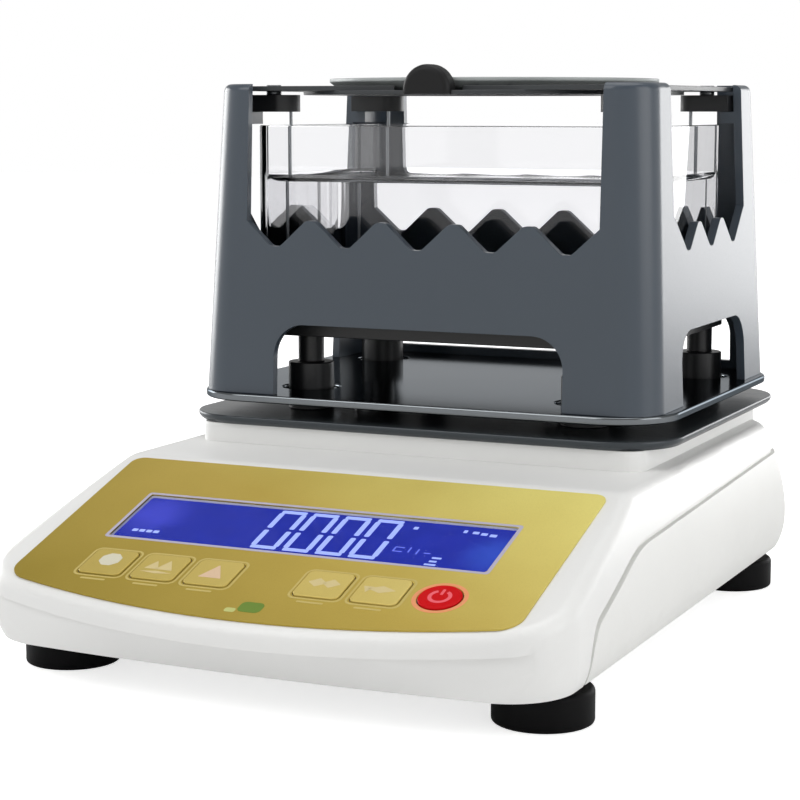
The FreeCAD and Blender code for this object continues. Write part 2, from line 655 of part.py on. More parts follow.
def make_display():
    """Clear window in the overlay, and the display module behind it."""
    window = slab(DISPLAY_WIDTH, DISPLAY_HEIGHT, 1.0, 0, WINDOW_THICKNESS)
    window_out = OVERLAY_THICKNESS - WINDOW_THICKNESS
    module_width, module_height = DISPLAY_WIDTH + 6.0, DISPLAY_HEIGHT + 6.0
    glass = slab(DISPLAY_WIDTH - SLIP, DISPLAY_HEIGHT - SLIP, 1.0, -HOUSING_WALL + window_out,
                 HOUSING_WALL - SLIP)
    frame = slab(module_width, module_height, 1.5, -HOUSING_WALL - DISPLAY_DEPTH + window_out,
                 DISPLAY_DEPTH)
    module = fuse_all([glass, frame])
    return (lay_on_panel(window, 0, DISPLAY_CENTRE, window_out),
            lay_on_panel(module, 0, DISPLAY_CENTRE, 0))


def make_key(is_round):
    """One key: a pad with a soft crown and a stem down to its switch."""
    thickness = OVERLAY_THICKNESS + KEY_PROUD + 1.2
    top = OVERLAY_THICKNESS + KEY_PROUD
    pad = key_outline(is_round, 0.0, top - thickness, thickness)
    rim = [edge for edge in pad.Edges
           if all(abs(vertex.Z - top) < 1e-6 for vertex in edge.Vertexes)]
    pad = pad.makeFillet(KEY_PROUD * 0.8, rim)
    stem_bottom = -HOUSING_WALL - 1.0
    half = KEY_STEM_WIDTH / 2
    stem = block(-half, half, -half, half, stem_bottom, top - thickness)
    return fuse_all([pad, stem])


def key_board_out():
    """Top face of the key board, measured out from the panel surface."""
    return -HOUSING_WALL - 1.0 - KEY_TRAVEL - SLIP - SWITCH_HEIGHT


def make_key_board():
    """Board under the keys, and the switches on it."""
    half_width = KEY_GROUP_OFFSET + 2 * KEY_PITCH + KEY_WIDTH / 2
    out = key_board_out()
    board = slab(2 * half_width, KEY_HEIGHT, 1.0, out - BOARD_THICKNESS, BOARD_THICKNESS)
    half = SWITCH_SIZE / 2
    switches = []
    for _, across, _ in key_places():
        body = block(-half, half, -half, half, out, out + SWITCH_HEIGHT * 0.7)
        button = Part.makeCylinder(half * 0.55, SWITCH_HEIGHT, V(0, 0, out))
        switch = fuse_all([body, button])
        switches.append(lay_on_panel(switch, across, KEY_ROW, 0))
    return lay_on_panel(board, KEY_ROW_SHIFT, KEY_ROW, 0), Part.makeCompound(switches)


# ---- feet ----------------------------------------------------------------------------------
def make_foot(x, y):
    """Black disc of a levelling foot, and the stud in it."""
    disc = rod(FOOT_DIAMETER, x, y, 0, FOOT_HEIGHT)
    top = [edge for edge in disc.Edges if edge.BoundBox.ZMin > FOOT_HEIGHT - 1e-6]
    low = [edge for edge in disc.Edges if edge.BoundBox.ZMax < 1e-6]
    disc = disc.makeFillet(FOOT_EDGE, top).makeChamfer(FOOT_EDGE / 3, low)
    stud = rod(STUD_DIAMETER, x, y, STUD_SEAT, STUD_TOP)
    return disc.cut(stud), stud


def make_insert(x, y):
    """Threaded insert that the stud runs in."""
    top = SKIRT_CLEARANCE + INSERT_HEIGHT
    tube = rod(INSERT_DIAMETER, x, y, SKIRT_CLEARANCE, top)
    return tube.cut(rod(STUD_DIAMETER + 2 * STUD_FIT, x, y, SKIRT_CLEARANCE, top))


# ---- weighing mechanism --------------------------------------------------------------------
def make_load_cell():
    """Bending beam with the paired bores that make its flexures."""
    half_w, y0 = CELL_WIDTH / 2, PAN_CENTRE_Y - CELL_LENGTH / 2
    beam = block(-half_w, half_w, y0, y0 + CELL_LENGTH, CELL_BOTTOM, CELL_TOP)
    middle_z = (CELL_BOTTOM + CELL_TOP) / 2
    tools = []
    for side in SIDES:
        y = PAN_CENTRE_Y + side * CELL_BORE_SPACING / 2
        tools.append(Part.makeCylinder(CELL_BORE_DIAMETER / 2, CELL_WIDTH + 2,
                                       V(-half_w - 1, y, middle_z), V(1, 0, 0)))
    tools.append(block(-half_w - 1, half_w + 1, PAN_CENTRE_Y - CELL_BORE_SPACING / 2,
                       PAN_CENTRE_Y + CELL_BORE_SPACING / 2, middle_z - CELL_SLOT / 2,
                       middle_z + CELL_SLOT / 2))
    return cut_all(beam, tools + cell_screw_holes())


def cell_screw_places():
    """Plan positions of the screws at the two ends of the beam."""
    reach = CELL_LENGTH / 2 - CELL_FOOT_LENGTH / 2
    return [(side, side_y * CELL_SCREW_SPACING / 2 + PAN_CENTRE_Y + side * reach)
            for side in SIDES for side_y in SIDES]


def cell_screw_holes():
    """Holes for those screws: from below at the front end, from above at the back."""
    return [rod(CELL_SCREW_DIAMETER, 0, y, *cell_screw_span(side))
            for side, y in cell_screw_places()]


def cell_screw_span(side):
    """Bottom and top of a screw in the beam."""
    middle = (CELL_BOTTOM + CELL_TOP) / 2
    if side < 0:
        return FLOOR_TOP, middle
    return middle, CARRIER_TOP


def make_cell_foot():
    """Block that lifts the fixed end of the beam off the floor."""
    half_w, y0 = CELL_WIDTH / 2, PAN_CENTRE_Y - CELL_LENGTH / 2
    foot = block(-half_w, half_w, y0, y0 + CELL_FOOT_LENGTH, FLOOR_TOP, CELL_BOTTOM)
    return cut_all(foot, cell_screw_holes())


def make_cell_screws(side):
    """Screws of one end of the beam, as a group."""
    head = 1.6 * CELL_SCREW_DIAMETER
    screws = []
    for at, y in cell_screw_places():
        if at != side:
            continue
        bottom, top = cell_screw_span(side)
        shank = rod(CELL_SCREW_DIAMETER, 0, y, bottom, top)
        if side > 0:
            shank = fuse_all([shank, rod(head, 0, y, top, top + 0.4 * CELL_SCREW_DIAMETER)])
        screws.append(shank)
    return Part.makeCompound(screws)


def make_carrier():
    """Spider on the free end of the beam, with the pegs that reach up to the pan."""
    y_end = PAN_CENTRE_Y + CELL_LENGTH / 2
    half_w = CELL_WIDTH / 2
    spacer = block(-half_w, half_w, y_end - CELL_FOOT_LENGTH, y_end, CELL_TOP, CARRIER_BOTTOM)
    hub = block(-half_w, half_w, PAN_CENTRE_Y - CELL_BORE_SPACING, y_end, CARRIER_BOTTOM,
                CARRIER_TOP)
    pieces = [spacer, hub]
    for x, y in peg_places():
        run = V(x, y - PAN_CENTRE_Y, 0)
        arm = block(0, run.Length, -CARRIER_ARM_WIDTH / 2, CARRIER_ARM_WIDTH / 2,
                    CARRIER_BOTTOM, CARRIER_TOP)
        angle = math.degrees(math.atan2(run.y, run.x))
        arm.Placement = Placement(V(0, PAN_CENTRE_Y, 0), Rotation(V(0, 0, 1), angle))
        pieces += [arm, rod(CARRIER_ARM_WIDTH, x, y, CARRIER_BOTTOM, CARRIER_TOP),
                   rod(PEG_DIAMETER, x, y, CARRIER_BOTTOM, PAN_BOTTOM - CAP_HEIGHT / 2)]
    return cut_all(fuse_all(pieces), cell_screw_holes())


def make_caps():
    """Rubber caps on the pegs, under the pan."""
    caps = []
    for x, y in peg_places():
        cap = rod(CAP_DIAMETER, x, y, PAN_BOTTOM - CAP_HEIGHT, PAN_BOTTOM)
        caps.append(cap.cut(rod(PEG_DIAMETER, x, y, 0, PAN_BOTTOM - CAP_HEIGHT / 2)))
    return Part.makeCompound(caps)


def make_plates():
    """Fixed deck plate on the neck, and the weighing pan above it."""
    width, depth = PAN_WIDTH + 2 * DECK_PLATE_MARGIN, PAN_DEPTH + 2 * DECK_PLATE_MARGIN
    deck = slab(width, depth, PAN_CORNER_RADIUS, NECK_TOP, DECK_PLATE_THICKNESS, PAN_CENTRE_Y)
    deck = cut_all(deck, [rod(PEG_HOLE_DIAMETER, x, y, NECK_TOP - 1, DECK_PLATE_TOP + 1)
                          for x, y in peg_places()])
    lower_rim = [edge for edge in deck.Edges if edge.BoundBox.ZMax < NECK_TOP + 1e-6
                 and not is_hole_edge(edge)]
    deck = deck.makeChamfer(DECK_PLATE_THICKNESS * 0.5, lower_rim)
    pan = slab(PAN_WIDTH, PAN_DEPTH, PAN_CORNER_RADIUS, PAN_BOTTOM, PAN_THICKNESS,
               PAN_CENTRE_Y)
    hole = LEG_SHOE_DIAMETER + 2 * LEG_HOLE_GAP
    pan = cut_all(pan, [rod(hole, x, y, PAN_BOTTOM - 1, PAN_TOP + 1)
                        for x, y in leg_places()])
    rims = [edge for edge in pan.Edges
            if edge.BoundBox.ZLength < 1e-6 and not is_hole_edge(edge)]
    pan = pan.makeFillet(PAN_THICKNESS * 0.3, rims)
    return deck, pan


def is_hole_edge(edge):
    """True for the full circle at the end of a round hole."""
    return isinstance(edge.Curve, Part.Circle) and edge.isClosed()


# ---- rack ----------------------------------------------------------------------------------
def rack_section(height, inset):
    """Outline of the rack at a height above the pan."""
    lean = RACK_TAPER * height / RACK_HEIGHT + inset
    return outline(RACK_WIDTH - 2 * lean, RACK_DEPTH - 2 * lean,
                   RACK_CORNER_RADIUS - inset, PAN_TOP + height, PAN_CENTRE_Y)


def rack_loft(bottom, top, inset):
    """Solid inside the rack's walls between two heights above the pan."""
    wires = [rack_section(bottom, inset), rack_section(top, inset)]
    return Part.makeLoft(wires, True, True)


def saw_profile(half, valleys):
    """Points of the toothed edge from one post to the other: across, height."""
    points = []
    tip = TOOTH_TIP / 2
    slope = (PEAK_HEIGHT - VALLEY_HEIGHT) / (TOOTH_PITCH / 2 - TOOTH_TIP)
    for index in range(valleys):
        centre = (index - (valleys - 1) / 2) * TOOTH_PITCH
        if index == 0:
            rise = VALLEY_HEIGHT + slope * (half + centre - tip)
            points.append((-half, rise))
        points += [(centre - tip, VALLEY_HEIGHT), (centre + tip, VALLEY_HEIGHT)]
        if index < valleys - 1:
            peak = centre + TOOTH_PITCH / 2
            points += [(peak - tip, PEAK_HEIGHT), (peak + tip, PEAK_HEIGHT)]
        else:
            points.append((half, VALLEY_HEIGHT + slope * (half - centre - tip)))
    return points


def window_cutter(half, valleys, depth, turned):
    """Prism that opens two facing walls above their toothed edge."""
    profile = saw_profile(half, valleys)
    roof = RACK_HEIGHT + RACK_TOP_FILLET
    points = [V(x, 0, z) for x, z in profile] + [V(half, 0, roof), V(-half, 0, roof)]
    points.append(points[0])
    prism = Part.Face(Part.makePolygon(points)).extrude(V(0, 2 * depth, 0))
    soft = [edge for edge in prism.Edges
            if edge.BoundBox.YLength > depth and edge.CenterOfMass.z < roof - 1
            and abs(edge.CenterOfMass.x) < half - 1e-6]
    prism = prism.makeFillet(TOOTH_ROUND, soft)
    prism.translate(V(0, -depth, 0))
    if turned:
        prism.rotate(V(0, 0, 0), V(0, 0, 1), 90)
    prism.translate(V(0, PAN_CENTRE_Y, PAN_TOP))
    return prism


def arch_cutter(half, start, length, foot, turned):
    """Prism that opens an arch through a wall, down to a height above the pan."""
    prism = block(-half, half, start, start + length, foot, ARCH_HEIGHT)
    soft = [edge for edge in prism.Edges
            if edge.BoundBox.YLength > length / 2 and edge.CenterOfMass.z > ARCH_HEIGHT - 1]
    prism = prism.makeFillet(ARCH_ROUND, soft)
    if turned:
        prism.rotate(V(0, 0, 0), V(0, 0, 1), 90)
    prism.translate(V(0, PAN_CENTRE_Y, PAN_TOP))
    return prism


def make_rack():
    """Moulded rack: four corner posts, toothed walls and arches in one piece."""
    shell = rack_loft(0, RACK_HEIGHT, 0)
    top_rim = [edge for edge in shell.Edges if edge.BoundBox.ZMin > RACK_TOP - 1e-3]
    shell = shell.makeFillet(RACK_TOP_FILLET, top_rim)
    shell = shell.cut(rack_loft(0, RACK_HEIGHT, RACK_WALL))
    reach_y, reach_x = RACK_DEPTH, RACK_WIDTH
    valleys_front = 2 * int(WINDOW_HALF_X / TOOTH_PITCH) + 1
    valleys_side = 2 * int(WINDOW_HALF_Y / TOOTH_PITCH) + 1
    cutters = [window_cutter(WINDOW_HALF_X, valleys_front, reach_y, False),
               window_cutter(WINDOW_HALF_Y, valleys_side, reach_x, True),
               arch_cutter(ARCH_HALF_FRONT, -reach_y, reach_y, -1.0, False),
               arch_cutter(ARCH_HALF_BACK, 0, reach_y, RACK_RAIL, False),
               arch_cutter(ARCH_HALF_SIDE, -reach_x, 2 * reach_x, -1.0, True)]
    shell = cut_all(shell, cutters)
    return fuse_all([shell] + [make_ledge(x, y) for x in SIDES for y in SIDES])


def make_ledge(side_x, side_y):
    """Shelf in a corner post that a block of the dish's carrier stands on."""
    bottom = LEDGE_TOP - LEDGE_THICKNESS
    corner = rack_loft(bottom, LEDGE_TOP, RACK_WALL - LEDGE_RUN_IN)
    x0, x1 = sorted((side_x * (WINDOW_HALF_X + LEDGE_SET_BACK), side_x * RACK_WIDTH))
    y0, y1 = sorted((PAN_CENTRE_Y + side_y * WINDOW_HALF_Y, PAN_CENTRE_Y + side_y * RACK_DEPTH))
    return corner.common(block(x0, x1, y0, y1, PAN_TOP, RACK_TOP))


# ---- tank and stand ------------------------------------------------------------------------
def make_tank():
    """Clear tank, open at the top."""
    outside = slab(TANK_WIDTH, TANK_DEPTH, TANK_CORNER_RADIUS, TANK_BOTTOM,
                   TANK_TOP - TANK_BOTTOM, PAN_CENTRE_Y)
    inside = slab(TANK_WIDTH - 2 * TANK_WALL, TANK_DEPTH - 2 * TANK_WALL,
                  TANK_CORNER_RADIUS - TANK_WALL, TANK_BOTTOM + TANK_FLOOR,
                  TANK_TOP - TANK_BOTTOM, PAN_CENTRE_Y)
    return outside.cut(inside)


def make_stand():
    """Tray for the tank on four legs that pass through the pan."""
    width = TANK_WIDTH + 2 * STAND_MARGIN
    depth = TANK_DEPTH + 2 * STAND_MARGIN
    radius = TANK_CORNER_RADIUS + STAND_MARGIN
    tray = slab(width, depth, radius, STAND_BOTTOM, STAND_DECK + STAND_LIP, PAN_CENTRE_Y)
    tray = tray.cut(slab(TANK_WIDTH + 2 * SLIP, TANK_DEPTH + 2 * SLIP,
                         TANK_CORNER_RADIUS + SLIP, TANK_BOTTOM, STAND_LIP + 1, PAN_CENTRE_Y))
    legs = []
    for x, y in leg_places():
        legs += [rod(LEG_DIAMETER, x, y, DECK_PLATE_TOP, STAND_BOTTOM),
                 rod(LEG_SHOE_DIAMETER, x, y, DECK_PLATE_TOP, PAN_TOP + LEG_SHOE_TOP)]
    return fuse_all([tray] + legs)


# ---- top plate with its dish and basket ----------------------------------------------------
def block_centres():
    """Side and plan position of each corner block's inner end."""
    return [(side_x, side_y, PAN_CENTRE_Y + side_y * BLOCK_Y)
            for side_x in SIDES for side_y in SIDES]


def make_blocks():
    """Corner blocks with a rounded inner end, which stand on the rack's shelves."""
    group = []
    for side_x, _, y in block_centres():
        inner = BLOCK_INNER_X + BLOCK_WIDTH / 2
        x0, x1 = sorted((side_x * inner, side_x * BLOCK_OUTER_X))
        bar = block(x0, x1, y - BLOCK_WIDTH / 2, y + BLOCK_WIDTH / 2, BLOCK_BOTTOM, BLOCK_TOP)
        nose = rod(BLOCK_WIDTH, side_x * inner, y, BLOCK_BOTTOM, BLOCK_TOP)
        piece = fuse_all([bar, nose])
        tools = [rod(PIN_DIAMETER, side_x * PIN_X, y, BLOCK_BOTTOM - 1, BLOCK_TOP + 1)]
        wire_y = PAN_CENTRE_Y + math.copysign(WIRE_Y, y - PAN_CENTRE_Y)
        tools.append(rod(WIRE_DIAMETER, side_x * WIRE_X, wire_y, BLOCK_BOTTOM - 1,
                         BLOCK_TOP + 1))
        group.append(cut_all(piece, tools))
    return Part.makeCompound(group)


def make_pins():
    """Pins that join the blocks to the wings of the carrier, with a low head above them."""
    pins = []
    for side_x, _, y in block_centres():
        shank = rod(PIN_DIAMETER, side_x * PIN_X, y, BLOCK_BOTTOM, WING_TOP)
        head = rod(PIN_HEAD_DIAMETER, side_x * PIN_X, y, WING_TOP, WING_TOP + PIN_HEAD_HEIGHT)
        collar = rod(PIN_HEAD_DIAMETER, side_x * PIN_X, y, BLOCK_TOP, WING_BOTTOM)
        pins.append(fuse_all([shank, head, collar]))
    return Part.makeCompound(pins)


def seat_body():
    """Ring that the dish stands on."""
    ring = slab(SEAT_WIDTH, SEAT_DEPTH, SEAT_CORNER_RADIUS, SEAT_BOTTOM, WING_LIFT,
                PAN_CENTRE_Y)
    return ring.cut(rod(2 * (DISH_RADIUS - SEAT_RING), 0, PAN_CENTRE_Y, SEAT_BOTTOM - 1,
                        DISH_BOTTOM + 1))


def make_dish_carrier():
    """Carrier of the dish: a ring under it and a wing at each side between the posts."""
    wings = slab(2 * BLOCK_OUTER_X, 2 * WING_HALF_DEPTH, RACK_CORNER_RADIUS - RACK_WALL,
                 WING_BOTTOM, WING_THICKNESS, PAN_CENTRE_Y)
    wings = wings.cut(rod(2 * (DISH_RADIUS + SLIP), 0, PAN_CENTRE_Y, WING_BOTTOM - 1,
                          WING_TOP + 1))
    tools = [rod(PIN_DIAMETER, side_x * PIN_X, y, SEAT_BOTTOM - 1, WING_TOP + 1)
             for side_x, _, y in block_centres()]
    tools += [rod(PIN_HEAD_DIAMETER, side_x * PIN_X, y, SEAT_BOTTOM - 1, WING_BOTTOM)
              for side_x, _, y in block_centres()]
    return cut_all(fuse_all([seat_body(), wings]), tools)


def make_dish():
    """Shallow round dish with a rolled-up rim."""
    r, t = DISH_RADIUS, DISH_THICKNESS
    foot = r - DISH_HEIGHT
    profile = [V(0, 0, DISH_BOTTOM), V(foot, 0, DISH_BOTTOM), V(r, 0, DISH_TOP - t),
               V(r, 0, DISH_TOP), V(r - t, 0, DISH_TOP), V(foot - t, 0, DISH_BOTTOM + t),
               V(0, 0, DISH_BOTTOM + t), V(0, 0, DISH_BOTTOM)]
    dish = Part.Face(Part.makePolygon(profile)).revolve(V(0, 0, 0), V(0, 0, 1), 360)
    dish.translate(V(0, PAN_CENTRE_Y, 0))
    return dish


def make_knob():
    """Half-round lifting knob on the front of the seat."""
    y0 = PAN_CENTRE_Y - SEAT_DEPTH / 2 - KNOB_OVERHANG
    middle = SEAT_BOTTOM + KNOB_LIFT
    disc = Part.makeCylinder(KNOB_RADIUS, KNOB_THICKNESS, V(KNOB_SHIFT, y0, middle), V(0, 1, 0))
    foot = block(KNOB_SHIFT - KNOB_RADIUS, KNOB_SHIFT + KNOB_RADIUS, y0, y0 + KNOB_THICKNESS,
                 SEAT_BOTTOM, middle)
    above = block(-RACK_WIDTH, RACK_WIDTH, y0 - 1, y0 + KNOB_THICKNESS + 1, SEAT_BOTTOM,
                  middle + KNOB_RADIUS + 1)
    knob = fuse_all([disc.common(above), foot])
    rims = [edge for edge in knob.Edges
            if edge.BoundBox.YLength < 1e-6 and edge.BoundBox.ZLength > KNOB_LIFT / 2]
    knob = knob.makeFillet(KNOB_EDGE, rims)
    notch = rod(2 * (DISH_RADIUS + SLIP), 0, PAN_CENTRE_Y, DISH_BOTTOM, middle + KNOB_RADIUS + 1)
    return knob.cut(seat_body()).cut(notch)


# ---- basket --------------------------------------------------------------------------------
def make_basket():
    """Perforated tray that hangs in the water."""
    tray = slab(BASKET_WIDTH, BASKET_DEPTH, BASKET_CORNER_RADIUS, BASKET_FLOOR,
                BASKET_WALL_HEIGHT, PAN_CENTRE_Y)
    t = BASKET_THICKNESS
    tray = tray.cut(slab(BASKET_WIDTH - 2 * t, BASKET_DEPTH - 2 * t, BASKET_CORNER_RADIUS - t,
                         BASKET_FLOOR + t, BASKET_WALL_HEIGHT, PAN_CENTRE_Y))
    columns = int((BASKET_WIDTH - 2 * BASKET_CORNER_RADIUS) / BASKET_HOLE_PITCH) + 1
    rows = int((BASKET_DEPTH - 2 * BASKET_CORNER_RADIUS) / BASKET_HOLE_PITCH) + 1
    holes = []
    for column in range(columns):
        for row in range(rows):
            x = (column - (columns - 1) / 2) * BASKET_HOLE_PITCH
            y = PAN_CENTRE_Y + (row - (rows - 1) / 2) * BASKET_HOLE_PITCH
            holes.append(rod(BASKET_HOLE_DIAMETER, x, y, BASKET_FLOOR - 1, BASKET_FLOOR + t + 1))
    return cut_all(tray, holes).cut(make_wires())


def make_wires():
    """Four wires from the blocks down to the basket's rim."""
    group = []
    foot = BASKET_FLOOR + BASKET_WALL_HEIGHT / 2
    for side_x in SIDES:
        for side_y in SIDES:
            corner = V(side_x * WIRE_X, PAN_CENTRE_Y + side_y * WIRE_Y, foot)
            reach_x = side_x * (BASKET_WIDTH / 2 - BASKET_THICKNESS / 2)
            target = V(reach_x, PAN_CENTRE_Y + side_y * BASKET_DEPTH / 4, foot)
            group.append(bent_wire(V(corner.x, corner.y, BLOCK_TOP), corner, target))
    return Part.makeCompound(group)


def bent_wire(start, corner, end):
    """Round wire with one rounded bend."""
    back, ahead = (start - corner).normalize(), (end - corner).normalize()
    first, last = corner + back * WIRE_BEND, corner + ahead * WIRE_BEND
    middle = corner + (back + ahead) * (WIRE_BEND * (1 - math.sqrt(0.5)))
    path = Part.Wire([Part.LineSegment(start, first).toShape(),
                      Part.Arc(first, middle, last).toShape(),
                      Part.LineSegment(last, end).toShape()])
    section = Part.Wire(Part.makeCircle(WIRE_DIAMETER / 2, start, back))
    return path.makePipeShell([section], True, False)


# ---- boards, sockets, screws ---------------------------------------------------------------
def upright_box(size, x, y, z):
    """Box of a given size that stands on a height, centred on x and y."""
    width, depth, height = size
    return block(x - width / 2, x + width / 2, y - depth / 2, y + depth / 2, z, z + height)


def make_main_board():
    """Main circuit board on its standoffs, with its larger components."""
    bottom = FLOOR_TOP + BOARD_STANDOFF
    top = bottom + BOARD_THICKNESS
    board = slab(MAIN_BOARD_WIDTH, MAIN_BOARD_DEPTH, 2.0, bottom, BOARD_THICKNESS,
                 MAIN_BOARD_Y)
    parts = [upright_box(CHIP_SIZE, 0, MAIN_BOARD_Y, top),
             rod(CAPACITOR_DIAMETER, COMPONENT_X, MAIN_BOARD_Y, top, top + CAPACITOR_HEIGHT),
             upright_box(TRANSFORMER_SIZE, -COMPONENT_X, MAIN_BOARD_Y, top)]
    reach_x = MAIN_BOARD_WIDTH / 2 - STANDOFF_INSET
    reach_y = MAIN_BOARD_DEPTH / 2 - STANDOFF_INSET
    feet = [rod(STANDOFF_DIAMETER, side_x * reach_x, MAIN_BOARD_Y + side_y * reach_y, FLOOR_TOP,
                bottom) for side_x in SIDES for side_y in SIDES]
    return fuse_all([board] + parts), Part.makeCompound(feet)


def wall_recess(width, height, x, z, face_y, depth):
    """Box that reaches a depth into something from the back wall's face."""
    return block(x - width / 2, x + width / 2, face_y - depth, face_y, z - height / 2,
                 z + height / 2)


def make_sockets():
    """Power inlet and serial socket, just inside the back wall's face."""
    face_y = BACK_Y - wall_lean(SOCKET_HEIGHT) - SLIP
    power = wall_recess(POWER_SOCKET_SIZE, POWER_SOCKET_SIZE, POWER_SOCKET_X, SOCKET_HEIGHT,
                        face_y, SOCKET_DEPTH)
    floor_y = face_y - SOCKET_DEPTH * 0.8
    bore, pin = [Part.makeCylinder(size / 2, end - floor_y, V(POWER_SOCKET_X, floor_y,
                                                              SOCKET_HEIGHT), V(0, 1, 0))
                 for size, end in ((POWER_SOCKET_BORE, face_y + 1.0),
                                   (POWER_SOCKET_PIN, face_y - SLIP))]
    power = fuse_all([power.cut(bore), pin])
    serial = wall_recess(SERIAL_SOCKET_WIDTH, SERIAL_SOCKET_HEIGHT, SERIAL_SOCKET_X,
                         SOCKET_HEIGHT, face_y, SOCKET_DEPTH)
    well = wall_recess(SERIAL_WELL_WIDTH, SERIAL_WELL_HEIGHT, SERIAL_SOCKET_X, SOCKET_HEIGHT,
                       face_y, SERIAL_WELL_DEPTH)
    pins = []
    for side, count in ((1, 5), (-1, 4)):
        for index in range(count):
            x = SERIAL_SOCKET_X + (index - (count - 1) / 2) * SERIAL_PIN_PITCH
            start = V(x, face_y - SERIAL_WELL_DEPTH, SOCKET_HEIGHT + side * SERIAL_ROW_SPACING / 2)
            pins.append(Part.makeCylinder(SERIAL_PIN_DIAMETER / 2, SERIAL_WELL_DEPTH - 2 * SLIP,
                                          start, V(0, 1, 0)))
    return power, fuse_all([serial.cut(well)] + pins)


# ---- build ---------------------------------------------------------------------------------
def build():
    """Write every node."""
    os.makedirs("parts", exist_ok=True)
    upper, lower = make_housing()
    save("upper_housing", upper)
    save("lower_housing", lower)
    save("panel_overlay", make_overlay())
    window, module = make_display()
    save("display_window", window)
    save("display_module", module)
    for name, across, is_round in key_places():
        save(name, lay_on_panel(make_key(is_round), across, KEY_ROW, 0))
    board, switches = make_key_board()
    save("key_board", board)
    save("key_switches", switches)
    for name, x, y in foot_places():
        disc, stud = make_foot(x, y)
        save("foot_" + name, disc)
        save("foot_stud_" + name, stud)
    save("foot_inserts", Part.makeCompound([make_insert(x, y) for _, x, y in foot_places()]))
    save("load_cell", make_load_cell())
    save("load_cell_foot", make_cell_foot())
    save("load_cell_screws", make_cell_screws(-1))
    save("carrier_screws", make_cell_screws(1))
    save("pan_carrier", make_carrier())
    save("peg_caps", make_caps())
    deck, pan = make_plates()
    save("deck_plate", deck)
    save("weighing_pan", pan)
    save("rack", make_rack())
    save("water_tank", make_tank())
    save("tank_stand", make_stand())
    save("hanger_blocks", make_blocks())
    save("hanger_pins", make_pins())
    save("dish_carrier", make_dish_carrier())
    save("dish", make_dish())
    save("lift_knob", make_knob())
    save("basket", make_basket())
    save("hanging_wires", make_wires())
    main_board, feet = make_main_board()
    save("main_board", main_board)
    save("board_standoffs", feet)
    power, serial = make_sockets()
    save("power_socket", power)
    save("serial_socket", serial)


build()
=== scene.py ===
"""Benchtop density meter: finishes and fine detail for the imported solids."""

from __future__ import annotations

import json
import logging
import math
from dataclasses import dataclass, field
from enum import Enum

import bpy
from bpy.types import Material, Node, NodeSocket, NodeTree, Object
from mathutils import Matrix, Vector

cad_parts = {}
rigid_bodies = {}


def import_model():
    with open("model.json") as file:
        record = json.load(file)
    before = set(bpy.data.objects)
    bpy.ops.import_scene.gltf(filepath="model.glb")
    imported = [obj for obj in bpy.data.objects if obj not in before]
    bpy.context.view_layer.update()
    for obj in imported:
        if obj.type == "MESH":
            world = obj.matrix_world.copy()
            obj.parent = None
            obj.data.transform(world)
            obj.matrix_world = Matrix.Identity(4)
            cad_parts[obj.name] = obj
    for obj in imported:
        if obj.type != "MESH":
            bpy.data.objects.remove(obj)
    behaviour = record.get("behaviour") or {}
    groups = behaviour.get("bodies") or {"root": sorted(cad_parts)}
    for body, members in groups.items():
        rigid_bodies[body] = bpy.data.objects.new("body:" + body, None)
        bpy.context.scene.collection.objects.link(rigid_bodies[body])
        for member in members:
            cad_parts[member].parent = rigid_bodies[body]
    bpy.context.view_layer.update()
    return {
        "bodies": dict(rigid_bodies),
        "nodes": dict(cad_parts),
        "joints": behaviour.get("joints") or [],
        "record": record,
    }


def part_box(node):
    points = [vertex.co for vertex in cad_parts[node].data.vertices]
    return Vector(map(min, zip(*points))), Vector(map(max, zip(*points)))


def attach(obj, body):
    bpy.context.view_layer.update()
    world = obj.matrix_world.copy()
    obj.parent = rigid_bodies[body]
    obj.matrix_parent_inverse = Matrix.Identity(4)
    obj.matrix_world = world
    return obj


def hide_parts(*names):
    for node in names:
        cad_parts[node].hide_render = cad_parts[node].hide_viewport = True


log = logging.getLogger("density_meter")

MM = 0.001
SAME_POINT = 1e-6           # metres between points that count as one
SAME_CAD_POINT = 2e-6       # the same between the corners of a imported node's triangles
FLAT_DEGREES = 0.4          # faces that bend less than this are one
NOISE_RANGE = (0.3, 0.7)    # a noise texture's value seldom leaves it


# ---- small tools -----------------------------------------------------------------------


def linear(code: str, loss: float = 0.0) -> tuple[float, float, float, float]:
    """Turn an sRGB hex colour into linear values.

    Args:
        code: Six hex digits with a leading hash.
        loss: Share of the light to take from it.

    Returns:
        Red, green and blue in linear light, and full opacity.
    """
    parts = [int(code[i:i + 2], 16) / 255 for i in (1, 3, 5)]
    red, green, blue = ((p / 12.92 if p <= 0.04045 else ((p + 0.055) / 1.055) ** 2.4)
                        * (1.0 - loss) for p in parts)
    return red, green, blue, 1.0


def add_node(tree: NodeTree, kind: str, inputs: dict | None = None,
             **settings: object) -> Node:
    """Add a shader node with its settings and links.

    Args:
        tree: Node tree that gets the node.
        kind: Type name of the node, without ShaderNode.
        inputs: Socket name or number, with a value, an output, or a node for its first
            output.
        **settings: Properties of the node itself.

    Returns:
        The new node.
    """
    made = tree.nodes.new(f"ShaderNode{kind}")
    for name, value in settings.items():
        setattr(made, name, value)
    for socket, value in (inputs or {}).items():
        if isinstance(value, Node):
            value = value.outputs[0]
        if isinstance(value, NodeSocket):
            tree.links.new(value, made.inputs[socket])
        else:
            made.inputs[socket].default_value = value
    return made


def new_material(name: str) -> tuple[Material, NodeTree, NodeSocket]:
    """Make an empty node material.

    Args:
        name: Name of the material.

    Returns:
        The material, its node tree and the object's own coordinates.
    """
    material = bpy.data.materials.new(name)
    material.use_nodes = True
    material.node_tree.nodes.clear()
    place = add_node(material.node_tree, "TexCoord").outputs["Object"]
    return material, material.node_tree, place


